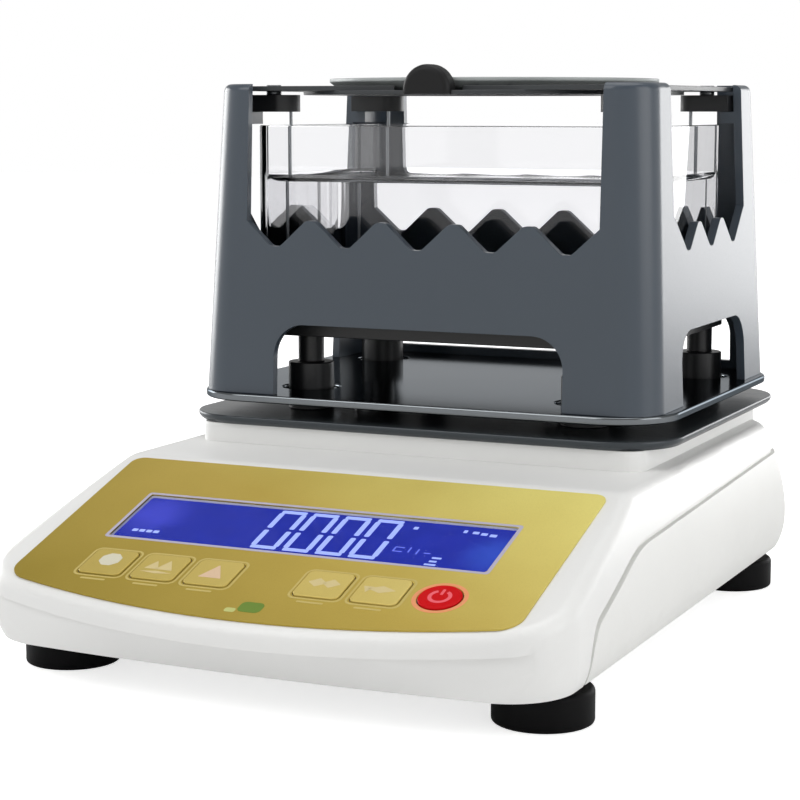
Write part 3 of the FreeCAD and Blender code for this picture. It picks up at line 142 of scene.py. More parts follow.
def finish_with(material: Material, shader: Node) -> Material:
    """Link a shader to a new output of a material and give the material back."""
    add_node(material.node_tree, "OutputMaterial", {"Surface": shader})
    return material


def blend_colours(tree: NodeTree, factor: object, first: object, second: object,
                  mode: str = "MIX") -> NodeSocket:
    """Mix two colours.

    Args:
        tree: Node tree that gets the mix.
        factor: Share of the second colour, a number or a socket.
        first: A colour or a socket.
        second: A colour or a socket.
        mode: Blend mode of the mix.

    Returns:
        The mixed colour's socket.
    """
    mix = add_node(tree, "Mix",
                   {0: factor, 6: first, 7: second}, data_type="RGBA", blend_type=mode)
    return mix.outputs[2]


def patchy(tree: NodeTree, place: NodeSocket, code: str,
           patch_mm: float, loss: float, detail: float) -> NodeSocket:
    """Vary a colour in soft patches.

    Args:
        tree: Node tree that gets the nodes.
        place: Object coordinates.
        code: The full colour, six hex digits with a leading hash.
        patch_mm: Size of a patch.
        loss: Share of the light that the dullest patches lose.
        detail: Layers of finer patches in it.

    Returns:
        The varied colour's socket.
    """
    cloud = add_node(tree, "TexNoise",
                     {"Vector": place, "Scale": 1 / (patch_mm * MM), "Detail": detail})
    share = add_node(tree, "MapRange",
                     {"Value": cloud.outputs["Fac"], "From Min": NOISE_RANGE[0],
                      "From Max": NOISE_RANGE[1]})
    return blend_colours(tree, share, linear(code, loss), linear(code))


def box_mm(node: str) -> tuple[Vector, Vector, Vector]:
    """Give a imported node's box, in millimetres.

    Args:
        node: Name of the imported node.

    Returns:
        Its lowest corner, its middle and its highest corner.
    """
    low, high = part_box(node)
    return low / MM, (low + high) / (2 * MM), high / MM


def deselect() -> None:
    """Leave edit mode and deselect everything."""
    if bpy.context.object and bpy.context.object.mode != "OBJECT":
        bpy.ops.object.mode_set(mode="OBJECT")
    bpy.ops.object.select_all(action="DESELECT")


def take(piece: Object) -> Object:
    """Make one object the only selected and the active one.

    Args:
        piece: The object.

    Returns:
        The same object.
    """
    deselect()
    piece.select_set(True)
    bpy.context.view_layer.objects.active = piece
    return piece


def edit_all(piece: Object) -> None:
    """Enter edit mode on one object with all of it selected."""
    take(piece)
    bpy.ops.object.mode_set(mode="EDIT")
    bpy.ops.mesh.select_all(action="SELECT")


def settle(piece: Object) -> Object:
    """Put an object's place into its mesh."""
    take(piece)
    bpy.ops.object.transform_apply(location=True, rotation=True, scale=True)
    return piece


def paint(piece: Object, material: Material) -> None:
    """Give an object one material in place of any it has."""
    piece.data.materials.clear()
    piece.data.materials.append(material)


def fit_out(piece: Object, name: str, body: str, material: Material) -> Object:
    """Name a new piece, dress it and let it ride on a body.

    Args:
        piece: The finished object.
        name: Name for the object.
        body: CAD body that carries it.
        material: Its finish.

    Returns:
        The same object.
    """
    piece.name = name
    paint(piece, material)
    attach(piece, body)
    return piece


def outward(piece: Object) -> None:
    """Merge an object's doubles and turn its faces outwards."""
    edit_all(piece)
    bpy.ops.mesh.remove_doubles(threshold=SAME_POINT)
    bpy.ops.mesh.normals_make_consistent(inside=False)
    bpy.ops.object.mode_set(mode="OBJECT")


def add_modifier(piece: Object, kind: str, **settings: object) -> None:
    """Add a modifier, set it and apply it.

    Args:
        piece: The object.
        kind: Type name of the modifier.
        **settings: Properties of the modifier.
    """
    take(piece)
    modifier = piece.modifiers.new(kind.title(), kind)
    for name, value in settings.items():
        setattr(modifier, name, value)
    bpy.ops.object.modifier_apply(modifier=modifier.name)


def round_edges(piece: Object, width_mm: float, degrees: float = 32.0,
                segments: int = 2) -> None:
    """Round an object's sharp edges and shade it smooth.

    Args:
        piece: The object.
        width_mm: Width of the rounding, 0 for none.
        degrees: Edges sharper than this are rounded.
        segments: Steps across the rounding.
    """
    if width_mm > 0:
        add_modifier(piece, "BEVEL", width=width_mm * MM, segments=segments,
                     limit_method="ANGLE", angle_limit=math.radians(degrees),
                     use_clamp_overlap=True, miter_outer="MITER_ARC")
    take(piece)
    bpy.ops.object.shade_smooth_by_angle(angle=math.radians(degrees))
    add_modifier(piece, "WEIGHTED_NORMAL", keep_sharp=True, weight=50)


def join(pieces: list[Object]) -> Object:
    """Join several objects into the first.

    Args:
        pieces: The objects.

    Returns:
        The joined object.
    """
    take(pieces[0])
    for piece in pieces[1:]:
        piece.select_set(True)
    if len(pieces) > 1:
        bpy.ops.object.join()
    return pieces[0]


def copy_of(piece: Object, move_mm: tuple[float, float, float]) -> Object:
    """Copy an object with its own mesh and move the copy.

    Args:
        piece: The object to copy.
        move_mm: How far the copy goes, in millimetres.

    Returns:
        The copy.
    """
    take(piece)
    bpy.ops.object.duplicate(linked=False)
    bpy.ops.transform.translate(value=Vector(move_mm) * MM)
    return settle(bpy.context.object)


def thicken(piece: Object, thickness: float, border: float = 0.0) -> None:
    """Turn a flat outline into a plate or a frame, in millimetres.

    Args:
        piece: One flat face.
        thickness: Along Z, upwards.
        border: Width of the frame's bars, 0 for a whole plate.
    """
    edit_all(piece)
    if border > 0:
        bpy.ops.mesh.inset(thickness=border * MM)
        bpy.ops.mesh.delete(type="FACE")
        bpy.ops.mesh.select_all(action="SELECT")
    bpy.ops.mesh.extrude_region_move(
        TRANSFORM_OT_translate={"value": (0.0, 0.0, thickness * MM)})
    bpy.ops.object.mode_set(mode="OBJECT")
    outward(piece)


def plate(width: float, height: float, thickness: float, at: tuple[float, float, float],
          corner: float = 0.3, border: float = 0.0) -> Object:
    """Make a flat plate or frame with rounded corners, in millimetres.

    Args:
        width: Along X.
        height: Along Y.
        thickness: Along Z, upwards from its place.
        at: Middle of its lower face.
        corner: Radius of the upright corners.
        border: Width of the frame's bars, 0 for a whole plate.

    Returns:
        The plate or frame.
    """
    deselect()
    bpy.ops.mesh.primitive_plane_add(size=MM, location=Vector(at) * MM)
    piece = bpy.context.object
    piece.scale = (width, height, 1.0)
    edit_all(settle(piece))
    bpy.ops.mesh.bevel(offset=corner * MM, segments=4, affect="VERTICES")
    thicken(piece, thickness, border)
    return piece


def ring(outer: float, inner: float, thickness: float, at: tuple[float, float, float],
         vertices: int = 64) -> Object:
    """Make a flat ring, in millimetres.

    Args:
        outer: Outer radius.
        inner: Inner radius, 0 for a disc.
        thickness: Along Z, upwards from its place.
        at: Middle of its lower face.
        vertices: Corners of its round.

    Returns:
        The ring.
    """
    deselect()
    bpy.ops.mesh.primitive_circle_add(vertices=vertices, radius=outer * MM,
                                      fill_type="NGON", location=Vector(at) * MM)
    piece = settle(bpy.context.object)
    thicken(piece, thickness, outer - inner if inner > 0 else 0.0)
    return piece


# ---- studio ----------------------------------------------------------------------------


def seen_directly(tree: NodeTree) -> NodeSocket:
    """Say whether a ray comes from the camera or through a clear piece.

    Args:
        tree: Node tree of the floor or the world.

    Returns:
        Socket that is 1 for such a ray and 0 for any other.
    """
    path = add_node(tree, "LightPath")
    clear = add_node(tree, "Math",
                     {0: path.outputs["Is Camera Ray"],
                      1: path.outputs["Is Transmission Ray"]}, operation="MAXIMUM")
    return clear.outputs[0]


@dataclass(frozen=True)
class Lamp:
    """A square soft lamp: its place and edge in metres and its power in watts."""

    name: str
    place: tuple[float, float, float]
    size: float
    power: float

    def build(self, target: Vector) -> None:
        """Hang the lamp.

        Args:
            target: What it looks at.
        """
        deselect()
        bpy.ops.object.light_add(type="AREA", location=self.place)
        lamp = bpy.context.object
        lamp.name = self.name
        lamp.data.shape = "SQUARE"
        lamp.data.size = self.size
        lamp.data.energy = self.power
        # the walls of the tank would show the lamps as white fields
        lamp.visible_transmission = False
        way = target - Vector(self.place)
        lamp.rotation_euler = way.to_track_quat("-Z", "Y").to_euler()


@dataclass
class Studio:
    """Pale floor, soft lamps and the camera, in metres and degrees."""

    camera_place: Vector = field(default_factory=lambda: Vector((0.28404, -0.63145, 0.17213)))
    camera_azimuth: float = 24.861
    camera_drop: float = 7.968
    lens: float = 94.09             # millimetres, as is the sensor
    sensor: float = 36.0
    floor_size: float = 8.0
    floor_colour: str = "#F0F0F0"
    floor_glow: float = 0.68        # lifts the floor to the backdrop's white
    ambient: float = 0.36           # strength of the backdrop overhead
    dims_from: float = 0.10         # sine of the height where the backdrop starts to dim
    dims_to: float = 0.34           # and where it is as dim as overhead
    target: Vector = field(default_factory=lambda: Vector((0.0, 0.02, 0.09)))
    lamps: tuple[Lamp, ...] = (
        Lamp("lamp_front_left", (-0.6, -0.9, 1.15), 0.9, 6.5),
        Lamp("lamp_back_right", (0.44, 1.3, 0.22), 0.5, 2.9),
        Lamp("lamp_right", (1.3, -0.1, 0.6), 0.9, 5.2),
        Lamp("lamp_left", (-1.25, 0.4, 0.22), 0.7, 8.0),
        Lamp("lamp_top", (0.0, 0.2, 1.6), 1.2, 8.5),
    )

    def build(self) -> None:
        """Make the floor, the lamps, the world and the camera."""
        self.make_floor()
        self.make_world()
        for lamp in self.lamps:
            lamp.build(self.target)
        self.make_camera()

    def make_floor(self) -> None:
        """Make the floor, pale enough to meet the backdrop without a line."""
        deselect()
        bpy.ops.mesh.primitive_plane_add(size=self.floor_size, location=(0, 0, 0))
        floor = settle(bpy.context.object)
        floor.name = "floor"
        material, tree, _ = new_material("painted studio floor")
        seen = seen_directly(tree)
        diffuse = add_node(tree, "BsdfDiffuse", {"Color": linear(self.floor_colour)})
        lift = add_node(tree, "Math", {0: seen, 1: self.floor_glow}, operation="MULTIPLY")
        glow = add_node(tree, "Emission",
                        {"Color": linear("#FFFFFF"), "Strength": lift})
        both = add_node(tree, "AddShader", {0: diffuse, 1: glow})
        paint(floor, finish_with(material, both))

    def make_world(self) -> None:
        """Make a white backdrop that is bright near the horizon and dimmer overhead."""
        world = bpy.data.worlds.new("studio")
        world.use_nodes = True
        tree = world.node_tree
        tree.nodes.clear()
        seen = seen_directly(tree)
        way = add_node(tree, "TexCoord").outputs["Generated"]
        parts = add_node(tree, "SeparateXYZ", {0: way})
        lit = add_node(tree, "MapRange",
                       {"Value": parts.outputs[2], "From Min": self.dims_from,
                        "From Max": self.dims_to, "To Min": 1.0, "To Max": self.ambient},
                       interpolation_type="SMOOTHSTEP")
        strength = add_node(tree, "Math", {0: lit, 1: seen}, operation="MAXIMUM")
        sky = add_node(tree, "Background",
                       {"Color": linear("#FFFFFF"), "Strength": strength})
        add_node(tree, "OutputWorld", {"Surface": sky})
        bpy.context.scene.world = world

    def make_camera(self) -> None:
        """Make the camera and look through it."""
        deselect()
        bpy.ops.object.camera_add(
            location=self.camera_place,
            rotation=(math.radians(90.0 - self.camera_drop), 0.0,
                      math.radians(self.camera_azimuth)))
        camera = bpy.context.object
        camera.name = "camera"
        camera.data.lens = self.lens
        camera.data.sensor_width = self.sensor
        bpy.context.scene.camera = camera
        bpy.context.scene.view_settings.view_transform = "Standard"


# ---- finishes --------------------------------------------------------------------------


@dataclass(frozen=True)
class Finish:
    """How a surface was made, and what that gives the eye."""

    name: str

    def build(self) -> Material:
        """Make the material.

        Returns:
            The node material.
        """
        material, tree, place = new_material(self.name)
        shader = add_node(tree, "BsdfPrincipled", self.surface(tree, place))
        return finish_with(material, shader)

    def surface(self, tree: NodeTree, place: NodeSocket) -> dict[str, object]:
        """Work out the surface.

        Args:
            tree: The material's node tree, which gets the nodes.
            place: Object coordinates.

        Returns:
            The shader's inputs, each with what add_node takes for one.
        """
        raise NotImplementedError


@dataclass(frozen=True)
class MouldedPlastic(Finish):
    """Injection-moulded plastic or rubber with a spark-eroded grain."""

    colour: str
    roughness: float
    grain_mm: float = 0.5
    grain_depth: float = 0.1
    mottling: float = 0.03
    ior: float = 1.54
    flow_mm: float = 35.0
    relief: float = 0.3         # height of the grain over its width
    spread: float = 0.05        # of the roughness, between the grain's tops and pits

    def surface(self, tree: NodeTree, place: NodeSocket) -> dict[str, object]:
        """Raise the grain of the mould over the cloudy tone of the melt."""
        # the flow of the melt leaves cloudy shade differences a few centimetres across
        tone = patchy(tree, place, self.colour, self.flow_mm, self.mottling, 2.0)
        # the grain of the mould, drawn several times coarser than it is so that it shows
        grain = add_node(tree, "TexNoise",
                         {"Vector": place, "Scale": 1 / (self.grain_mm * MM), "Detail": 3.0})
        bump = add_node(tree, "Bump",
                        {"Height": grain.outputs["Fac"], "Strength": self.grain_depth,
                         "Distance": self.grain_mm * MM * self.relief})
        sheen = add_node(tree, "MapRange",
                         {"Value": grain.outputs["Fac"],
                          "To Min": self.roughness - self.spread,
                          "To Max": self.roughness + self.spread})
        return {"Base Color": tone, "Roughness": sheen, "Normal": bump, "IOR": self.ior}


@dataclass(frozen=True)
class SheetMetal(Finish):
    """Metal sheet or bar with the fine scratches of its last working."""

    colour: str
    roughness: float
    line_mm: float = 0.4
    line_stretch: tuple[float, float, float] = (0.02, 1.0, 1.0)
    line_depth: float = 0.1
    metallic: float = 1.0
    edge_colour: str = "#FFFFFF"
    haze_mm: float = 20.0
    haze_loss: float = 0.07
    relief_mm: float = 0.02
    spread: float = 0.25        # share by which the roughness rises and falls

    def surface(self, tree: NodeTree, place: NodeSocket) -> dict[str, object]:
        """Draw the scratches, with a haze over them."""
        # the scratches run along X, drawn coarser than they are so that they show
        run = add_node(tree, "Mapping", {"Vector": place, "Scale": self.line_stretch})
        lines = add_node(tree, "TexNoise",
                         {"Vector": run, "Scale": 1 / (self.line_mm * MM), "Detail": 4.0})
        rough = add_node(tree, "MapRange",
                         {"Value": lines.outputs["Fac"],
                          "To Min": self.roughness * (1.0 - self.spread),
                          "To Max": self.roughness * (1.0 + self.spread)})
        # handling leaves a haze in patches about two centimetres across
        tone = patchy(tree, place, self.colour, self.haze_mm, self.haze_loss, 3.0)
        bump = add_node(tree, "Bump",
                        {"Height": lines.outputs["Fac"], "Strength": self.line_depth,
                         "Distance": self.relief_mm * MM})
        return {"Base Color": tone, "Roughness": rough, "Metallic": self.metallic,
                "Specular Tint": linear(self.edge_colour), "Normal": bump}


@dataclass(frozen=True)
class ClearPiece(Finish):
    """Clear acrylic, polycarbonate or water."""

    colour: str
    ior: float
    roughness: float = 0.0
    ripple_mm: float = 9.0
    ripple_depth: float = 0.02
    shine: float = 0.5
    relief_mm: float = 0.2

    def surface(self, tree: NodeTree, place: NodeSocket) -> dict[str, object]:
        """Let light through, with a slow swell."""
        # a slow swell, as casting or standing leaves it, moves what shows through a little
        ripple = add_node(tree, "TexNoise",
                          {"Vector": place, "Scale": 1 / (self.ripple_mm * MM),
                           "Detail": 1.0})
        bump = add_node(tree, "Bump",
                        {"Height": ripple.outputs["Fac"], "Strength": self.ripple_depth,
                         "Distance": self.relief_mm * MM})
        return {"Base Color": linear(self.colour), "Roughness": self.roughness,
                "IOR": self.ior, "Specular IOR Level": self.shine, "Transmission Weight": 1.0,
                "Normal": bump}


@dataclass(frozen=True)
class GoldFilm(Finish):
    """Gold ink on the back of a satin film; painted shade at near left, painted sheen far
    right.
    """

    dark: str
    middle: str
    bright: str
    roughness: float = 0.42
    metallic: float = 0.2
    shine: float = 0.3
    sheen_across_mm: tuple[float, float] = (-95.0, 105.0)
    sheen_across_share: float = 0.62
    sheen_back_mm: tuple[float, float] = (-135.0, -45.0)
    sheen_back_share: float = 0.38
    drift_mm: float = 30.0
    drift: float = 0.08
    stops: tuple[float, float, float] = (0.05, 0.5, 0.95)
    flake_mm: float = 0.3
    flake_light: tuple[float, float] = (1.06, 0.96)     # in its middle and at its edge
    flake_depth: float = 0.04
    relief_mm: float = 0.05

    def surface(self, tree: NodeTree, place: NodeSocket) -> dict[str, object]:
        """Lay the gold from painted shade to painted sheen, with flakes in it."""
        parts = add_node(tree, "SeparateXYZ", {0: place})
        # painted sheen: the gold is painted darker at the near left and brighter up to the
        # far right
        level = 0.0
        for axis, (start, end), share in ((0, self.sheen_across_mm, self.sheen_across_share),
                                          (1, self.sheen_back_mm, self.sheen_back_share)):
            rise = add_node(tree, "MapRange",
                            {"Value": parts.outputs[axis], "From Min": start * MM,
                             "From Max": end * MM, "To Max": share})
            level = add_node(tree, "Math", {0: level, 1: rise})
        cloud = add_node(tree, "TexNoise",
                         {"Vector": place, "Scale": 1 / (self.drift_mm * MM), "Detail": 2.0})
        drift = add_node(tree, "Math",
                         {0: cloud.outputs["Fac"], 1: 2 * self.drift, 2: -self.drift},
                         operation="MULTIPLY_ADD")
        level = add_node(tree, "Math", {0: level, 1: drift})
        ramp = add_node(tree, "ValToRGB", {0: level})
        while len(ramp.color_ramp.elements) < len(self.stops):
            ramp.color_ramp.elements.new(1.0)
        for element, where, code in zip(ramp.color_ramp.elements, self.stops,
                                        (self.dark, self.middle, self.bright)):
            element.position = where
            element.color = linear(code)
        # flakes about 0.3 mm across, drawn coarser than the real ones so that they show
        flake = add_node(tree, "TexVoronoi",
                         {"Vector": place, "Scale": 1 / (self.flake_mm * MM)})
        sparkle = add_node(tree, "MapRange",
                           {"Value": flake.outputs["Distance"], "To Min": self.flake_light[0],
                            "To Max": self.flake_light[1]})
        tone = blend_colours(tree, 1.0, ramp, sparkle, "MULTIPLY")
        bump = add_node(tree, "Bump",
                        {"Height": flake.outputs["Distance"], "Strength": self.flake_depth,
                         "Distance": self.relief_mm * MM})
        return {"Base Color": tone, "Roughness": self.roughness, "Metallic": self.metallic,
                "Specular IOR Level": self.shine, "Normal": bump}


@dataclass(frozen=True)
class BackLitCrystal(Finish):
    """Liquid crystal display, lit from behind by lamps at its two ends.

    A lamp is given by its place across and along the instrument and by its reach, in
    millimetres.
    """

    field_colour: str
    left_glow: str
    right_glow: str
    left_lamp: tuple[float, float, float] = (-56.0, -80.0, 17.0)
    right_lamp: tuple[float, float, float] = (61.0, -85.0, 15.0)
    lamp_share: float = 0.75
    cell_mm: float = 6.0
    cell_light: tuple[float, float] = (0.9, 1.05)
    dark_glass: str = "#0C1030"
    roughness: float = 0.5
    strength: float = 1.0

    def surface(self, tree: NodeTree, place: NodeSocket) -> dict[str, object]:
        """Shine two lamps through an uneven light guide."""
        colour = linear(self.field_colour)
        for (across, along, reach), glow in ((self.left_lamp, self.left_glow),
                                             (self.right_lamp, self.right_glow)):
            middle = add_node(tree, "Mapping",
                              {"Vector": place, "Location": (-across * MM, -along * MM, 0.0)})
            flat = add_node(tree, "VectorMath",
                            {0: middle, 1: (1.0, 1.0, 0.0)}, operation="MULTIPLY")
            away = add_node(tree, "VectorMath", {0: flat}, operation="LENGTH")
            share = add_node(tree, "MapRange",
                             {"Value": away.outputs["Value"], "From Min": 0.0,
                              "From Max": reach * MM, "To Min": self.lamp_share,
                              "To Max": 0.0}, interpolation_type="SMOOTHERSTEP")
            colour = blend_colours(tree, share, colour, linear(glow))
        # the light guide behind the glass is uneven in patches of some millimetres
        cells = add_node(tree, "TexNoise",
                         {"Vector": place, "Scale": 1 / (self.cell_mm * MM), "Detail": 3.0})
        uneven = add_node(tree, "MapRange",
                          {"Value": cells.outputs["Fac"], "From Min": NOISE_RANGE[0],
                           "From Max": NOISE_RANGE[1], "To Min": self.cell_light[0],
                           "To Max": self.cell_light[1]})
        tone = blend_colours(tree, 1.0, colour, uneven, "MULTIPLY")
        return {"Base Color": linear(self.dark_glass), "Roughness": self.roughness,
                "Specular IOR Level": 0.0, "Emission Color": tone,
                "Emission Strength": self.strength}


@dataclass(frozen=True)
class PrintedInk(Finish):
    """Screen-printed ink or a lit display segment."""

    colour: str
    glow: float = 0.0
    roughness: float = 0.5
    mesh_mm: float = 0.4
    thin_loss: float = 0.1

    def surface(self, tree: NodeTree, place: NodeSocket) -> dict[str, object]:
        """Lay the ink, thinner over the threads of the screen."""
        # the mesh of the screen leaves the ink uneven, drawn coarse enough to show
        mesh = add_node(tree, "TexNoise",
                        {"Vector": place, "Scale": 1 / (self.mesh_mm * MM), "Detail": 2.0})
        tone = blend_colours(tree, mesh.outputs["Fac"], linear(self.colour, self.thin_loss),
                             linear(self.colour))
        inputs = {"Base Color": tone, "Roughness": self.roughness}
        if self.glow > 0:
            inputs |= {"Emission Color": tone, "Emission Strength": self.glow}
        return inputs


@dataclass(frozen=True)
class BoardLaminate(Finish):
    """Glass-fibre board under solder mask, with copper tracks that show as paler lines."""

    colour: str
    track_colour: str
    track_mm: float = 2.54
    rows_per_unit: int = 4      # of the brick pattern, a row for each track
    track_width: float = 0.012
    roughness: float = 0.35

    def surface(self, tree: NodeTree, place: NodeSocket) -> dict[str, object]:
        """Lay the tracks under the mask."""
        tracks = add_node(tree, "TexBrick",
                          {"Vector": place, "Color1": linear(self.colour),
                           "Color2": linear(self.colour), "Mortar": linear(self.track_colour),
                           "Scale": 1 / (self.track_mm * MM * self.rows_per_unit),
                           "Mortar Size": self.track_width})
        return {"Base Color": tracks.outputs["Color"], "Roughness": self.roughness}


# ---- workshop --------------------------------------------------------------------------


@dataclass
class Workshop:
    """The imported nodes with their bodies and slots, and the finish of each slot."""

    nodes: dict[str, Object]
    carriers: dict[str, str]
    slots: dict[str, str]
    finishes: dict[str, Material]

    def dress(self, node: str, edge_mm: float, degrees: float = 40.0,
              segments: int = 2, finish: str = "") -> Object:
        """Make a smooth copy of a node with rounded edges, which stands for it.

        Args:
            node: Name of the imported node.
            edge_mm: Width of the rounding along its sharp edges.
            degrees: Edges sharper than this are rounded.
            segments: Steps across the rounding.
            finish: Name of its finish, if it isn't the slot's own.

        Returns:
            The dressed piece.
        """
        take(self.nodes[node])
        bpy.ops.object.duplicate(linked=False)
        piece = bpy.context.object
        # the copy must not carry the notes by which the node is known
        for key in list(piece.keys()):
            del piece[key]
        edit_all(piece)
        bpy.ops.mesh.remove_doubles(threshold=SAME_CAD_POINT)
        bpy.ops.mesh.dissolve_limited(angle_limit=math.radians(FLAT_DEGREES))
        bpy.ops.object.mode_set(mode="OBJECT")
        round_edges(piece, edge_mm, degrees, segments)
        slot = self.slots[node]
        fit_out(piece, f"{node}_dressed", self.carriers[node],
                self.finishes[finish or slot])
        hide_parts(node)
        log.info("dressed %s: %d faces", node, len(piece.data.polygons))
        return piece

    def keep(self, node: str) -> None:
        """Give a node its finish and leave its shape."""
        paint(self.nodes[node], self.finishes[self.slots[node]])
        log.info("painted %s", node)

    def add(self, piece: Object, name: str, body: str, slot: str, finish: str) -> Object:
        """Fit out a new piece and report it.

        Args:
            piece: The finished object.
            name: Name for the object.
            body: CAD body that carries it.
            slot: Material slot of the record; not used.
            finish: Name of its finish.

        Returns:
            The piece.
        """
        fit_out(piece, name, body, self.finishes[finish])
        log.info("added %s", name)
        return piece


# ---- housing ---------------------------------------------------------------------------


@dataclass
class Housing:
    """Two white shells, the screws under them and the feet."""

    shop: Workshop
    edge_mm: float = 0.35
    foot_edge_mm: float = 0.5
    screw_places: tuple[tuple[float, float], ...] = (
        (-55.0, -112.0), (55.0, -112.0), (-82.0, 5.0), (82.0, 5.0), (-55.0, 118.0),
        (55.0, 118.0))
    screw_radius: float = 3.2
    screw_height: float = 1.5
    screw_round: float = 0.7
    rim_degrees: float = 60.0       # the head's rim is sharper than this
    slot_length: float = 3.6
    slot_width: float = 0.8
    slot_depth: float = 0.9
    slot_corner: float = 0.2
    blade_reach: float = 0.5        # past the head's face

    def build(self) -> None:
        """Dress the shells and the feet and add the screws."""
        self.shop.dress("upper_housing", self.edge_mm)
        self.shop.dress("lower_housing", self.edge_mm)
        for corner in ("front_left", "front_right", "rear_left", "rear_right"):
            self.shop.dress(f"foot_{corner}", self.foot_edge_mm)
            self.shop.keep(f"foot_stud_{corner}")
        self.shop.keep("foot_inserts")
        self.add_screws()

    def add_screws(self) -> None:
        """Add the cross-head screws that hold the lower shell."""
        x, y = self.screw_places[0]
        underside = box_mm("lower_housing")[0].z
        low = underside - self.screw_height
        head = ring(self.screw_radius, 0, self.screw_height, (x, y, low), vertices=40)
        add_modifier(head, "BEVEL", width=self.screw_round * MM, segments=4,
                     limit_method="ANGLE", angle_limit=math.radians(self.rim_degrees))
        for across, along in ((self.slot_width, self.slot_length),
                              (self.slot_length, self.slot_width)):
            blade = plate(across, along, self.slot_depth + self.blade_reach,
                          (x, y, low - self.blade_reach), self.slot_corner)
            add_modifier(head, "BOOLEAN", operation="DIFFERENCE", object=blade,
                         solver="EXACT")
            bpy.data.objects.remove(blade)
        round_edges(head, 0.0)
        heads = [head]
        for other_x, other_y in self.screw_places[1:]:
            heads.append(copy_of(head, (other_x - x, other_y - y, 0.0)))
        self.shop.add(join(heads), "housing_screws", "base", "zinc_steel", "zinc_steel")


# ---- control panel ---------------------------------------------------------------------


class Segment(Enum):
    """One bar of a display digit: its side and half of the figure."""

    TOP = (0, 1)
    UPPER_RIGHT = (1, 0.5)
    LOWER_RIGHT = (1, -0.5)
    BOTTOM = (0, -1)
    LOWER_LEFT = (-1, -0.5)
    UPPER_LEFT = (-1, 0.5)


@dataclass(frozen=True)
class Figure:
    """A flat printed figure with straight sides, placed from the middle of its key."""

    corners: int
    radius: float
    place: tuple[float, float]
    stretch: tuple[float, float] = (1.0, 1.0)
    turn_degrees: float = 0.0


# each square key's ink, and the figures printed on it
KEY_MARKS: dict[str, tuple[str, tuple[Figure, ...]]] = {
    # a pale disc
    "count": ("pale_ink", (Figure(8, 3.7, (0.0, 1.2), turn_degrees=22.5),)),
    # two peaks over a bar
    "mode": ("warm_ink", (Figure(3, 2.8, (-2.4, 0.0), (1.0, 1.1)),
                          Figure(3, 3.3, (1.8, 0.2), (1.0, 1.1)),
                          Figure(4, 5.4, (0.0, -3.2), (1.0, 0.14)))),
    # one peak
    "print": ("pink_ink", (Figure(3, 4.4, (0.0, -0.6), (1.0, 1.1)),)),
    # two diamonds side by side
    "zero": ("warm_ink", (Figure(4, 3.0, (-2.2, 0.6), (1.0, 0.8)),
                          Figure(4, 3.0, (2.2, 0.6), (1.0, 0.8)))),
    # a long diamond with a tip at its left
    "enter": ("warm_ink", (Figure(4, 4.6, (0.0, 0.3), (1.0, 0.42)),
                           Figure(3, 2.2, (-4.2, 0.3), (0.9, 1.0), 180.0))),
}


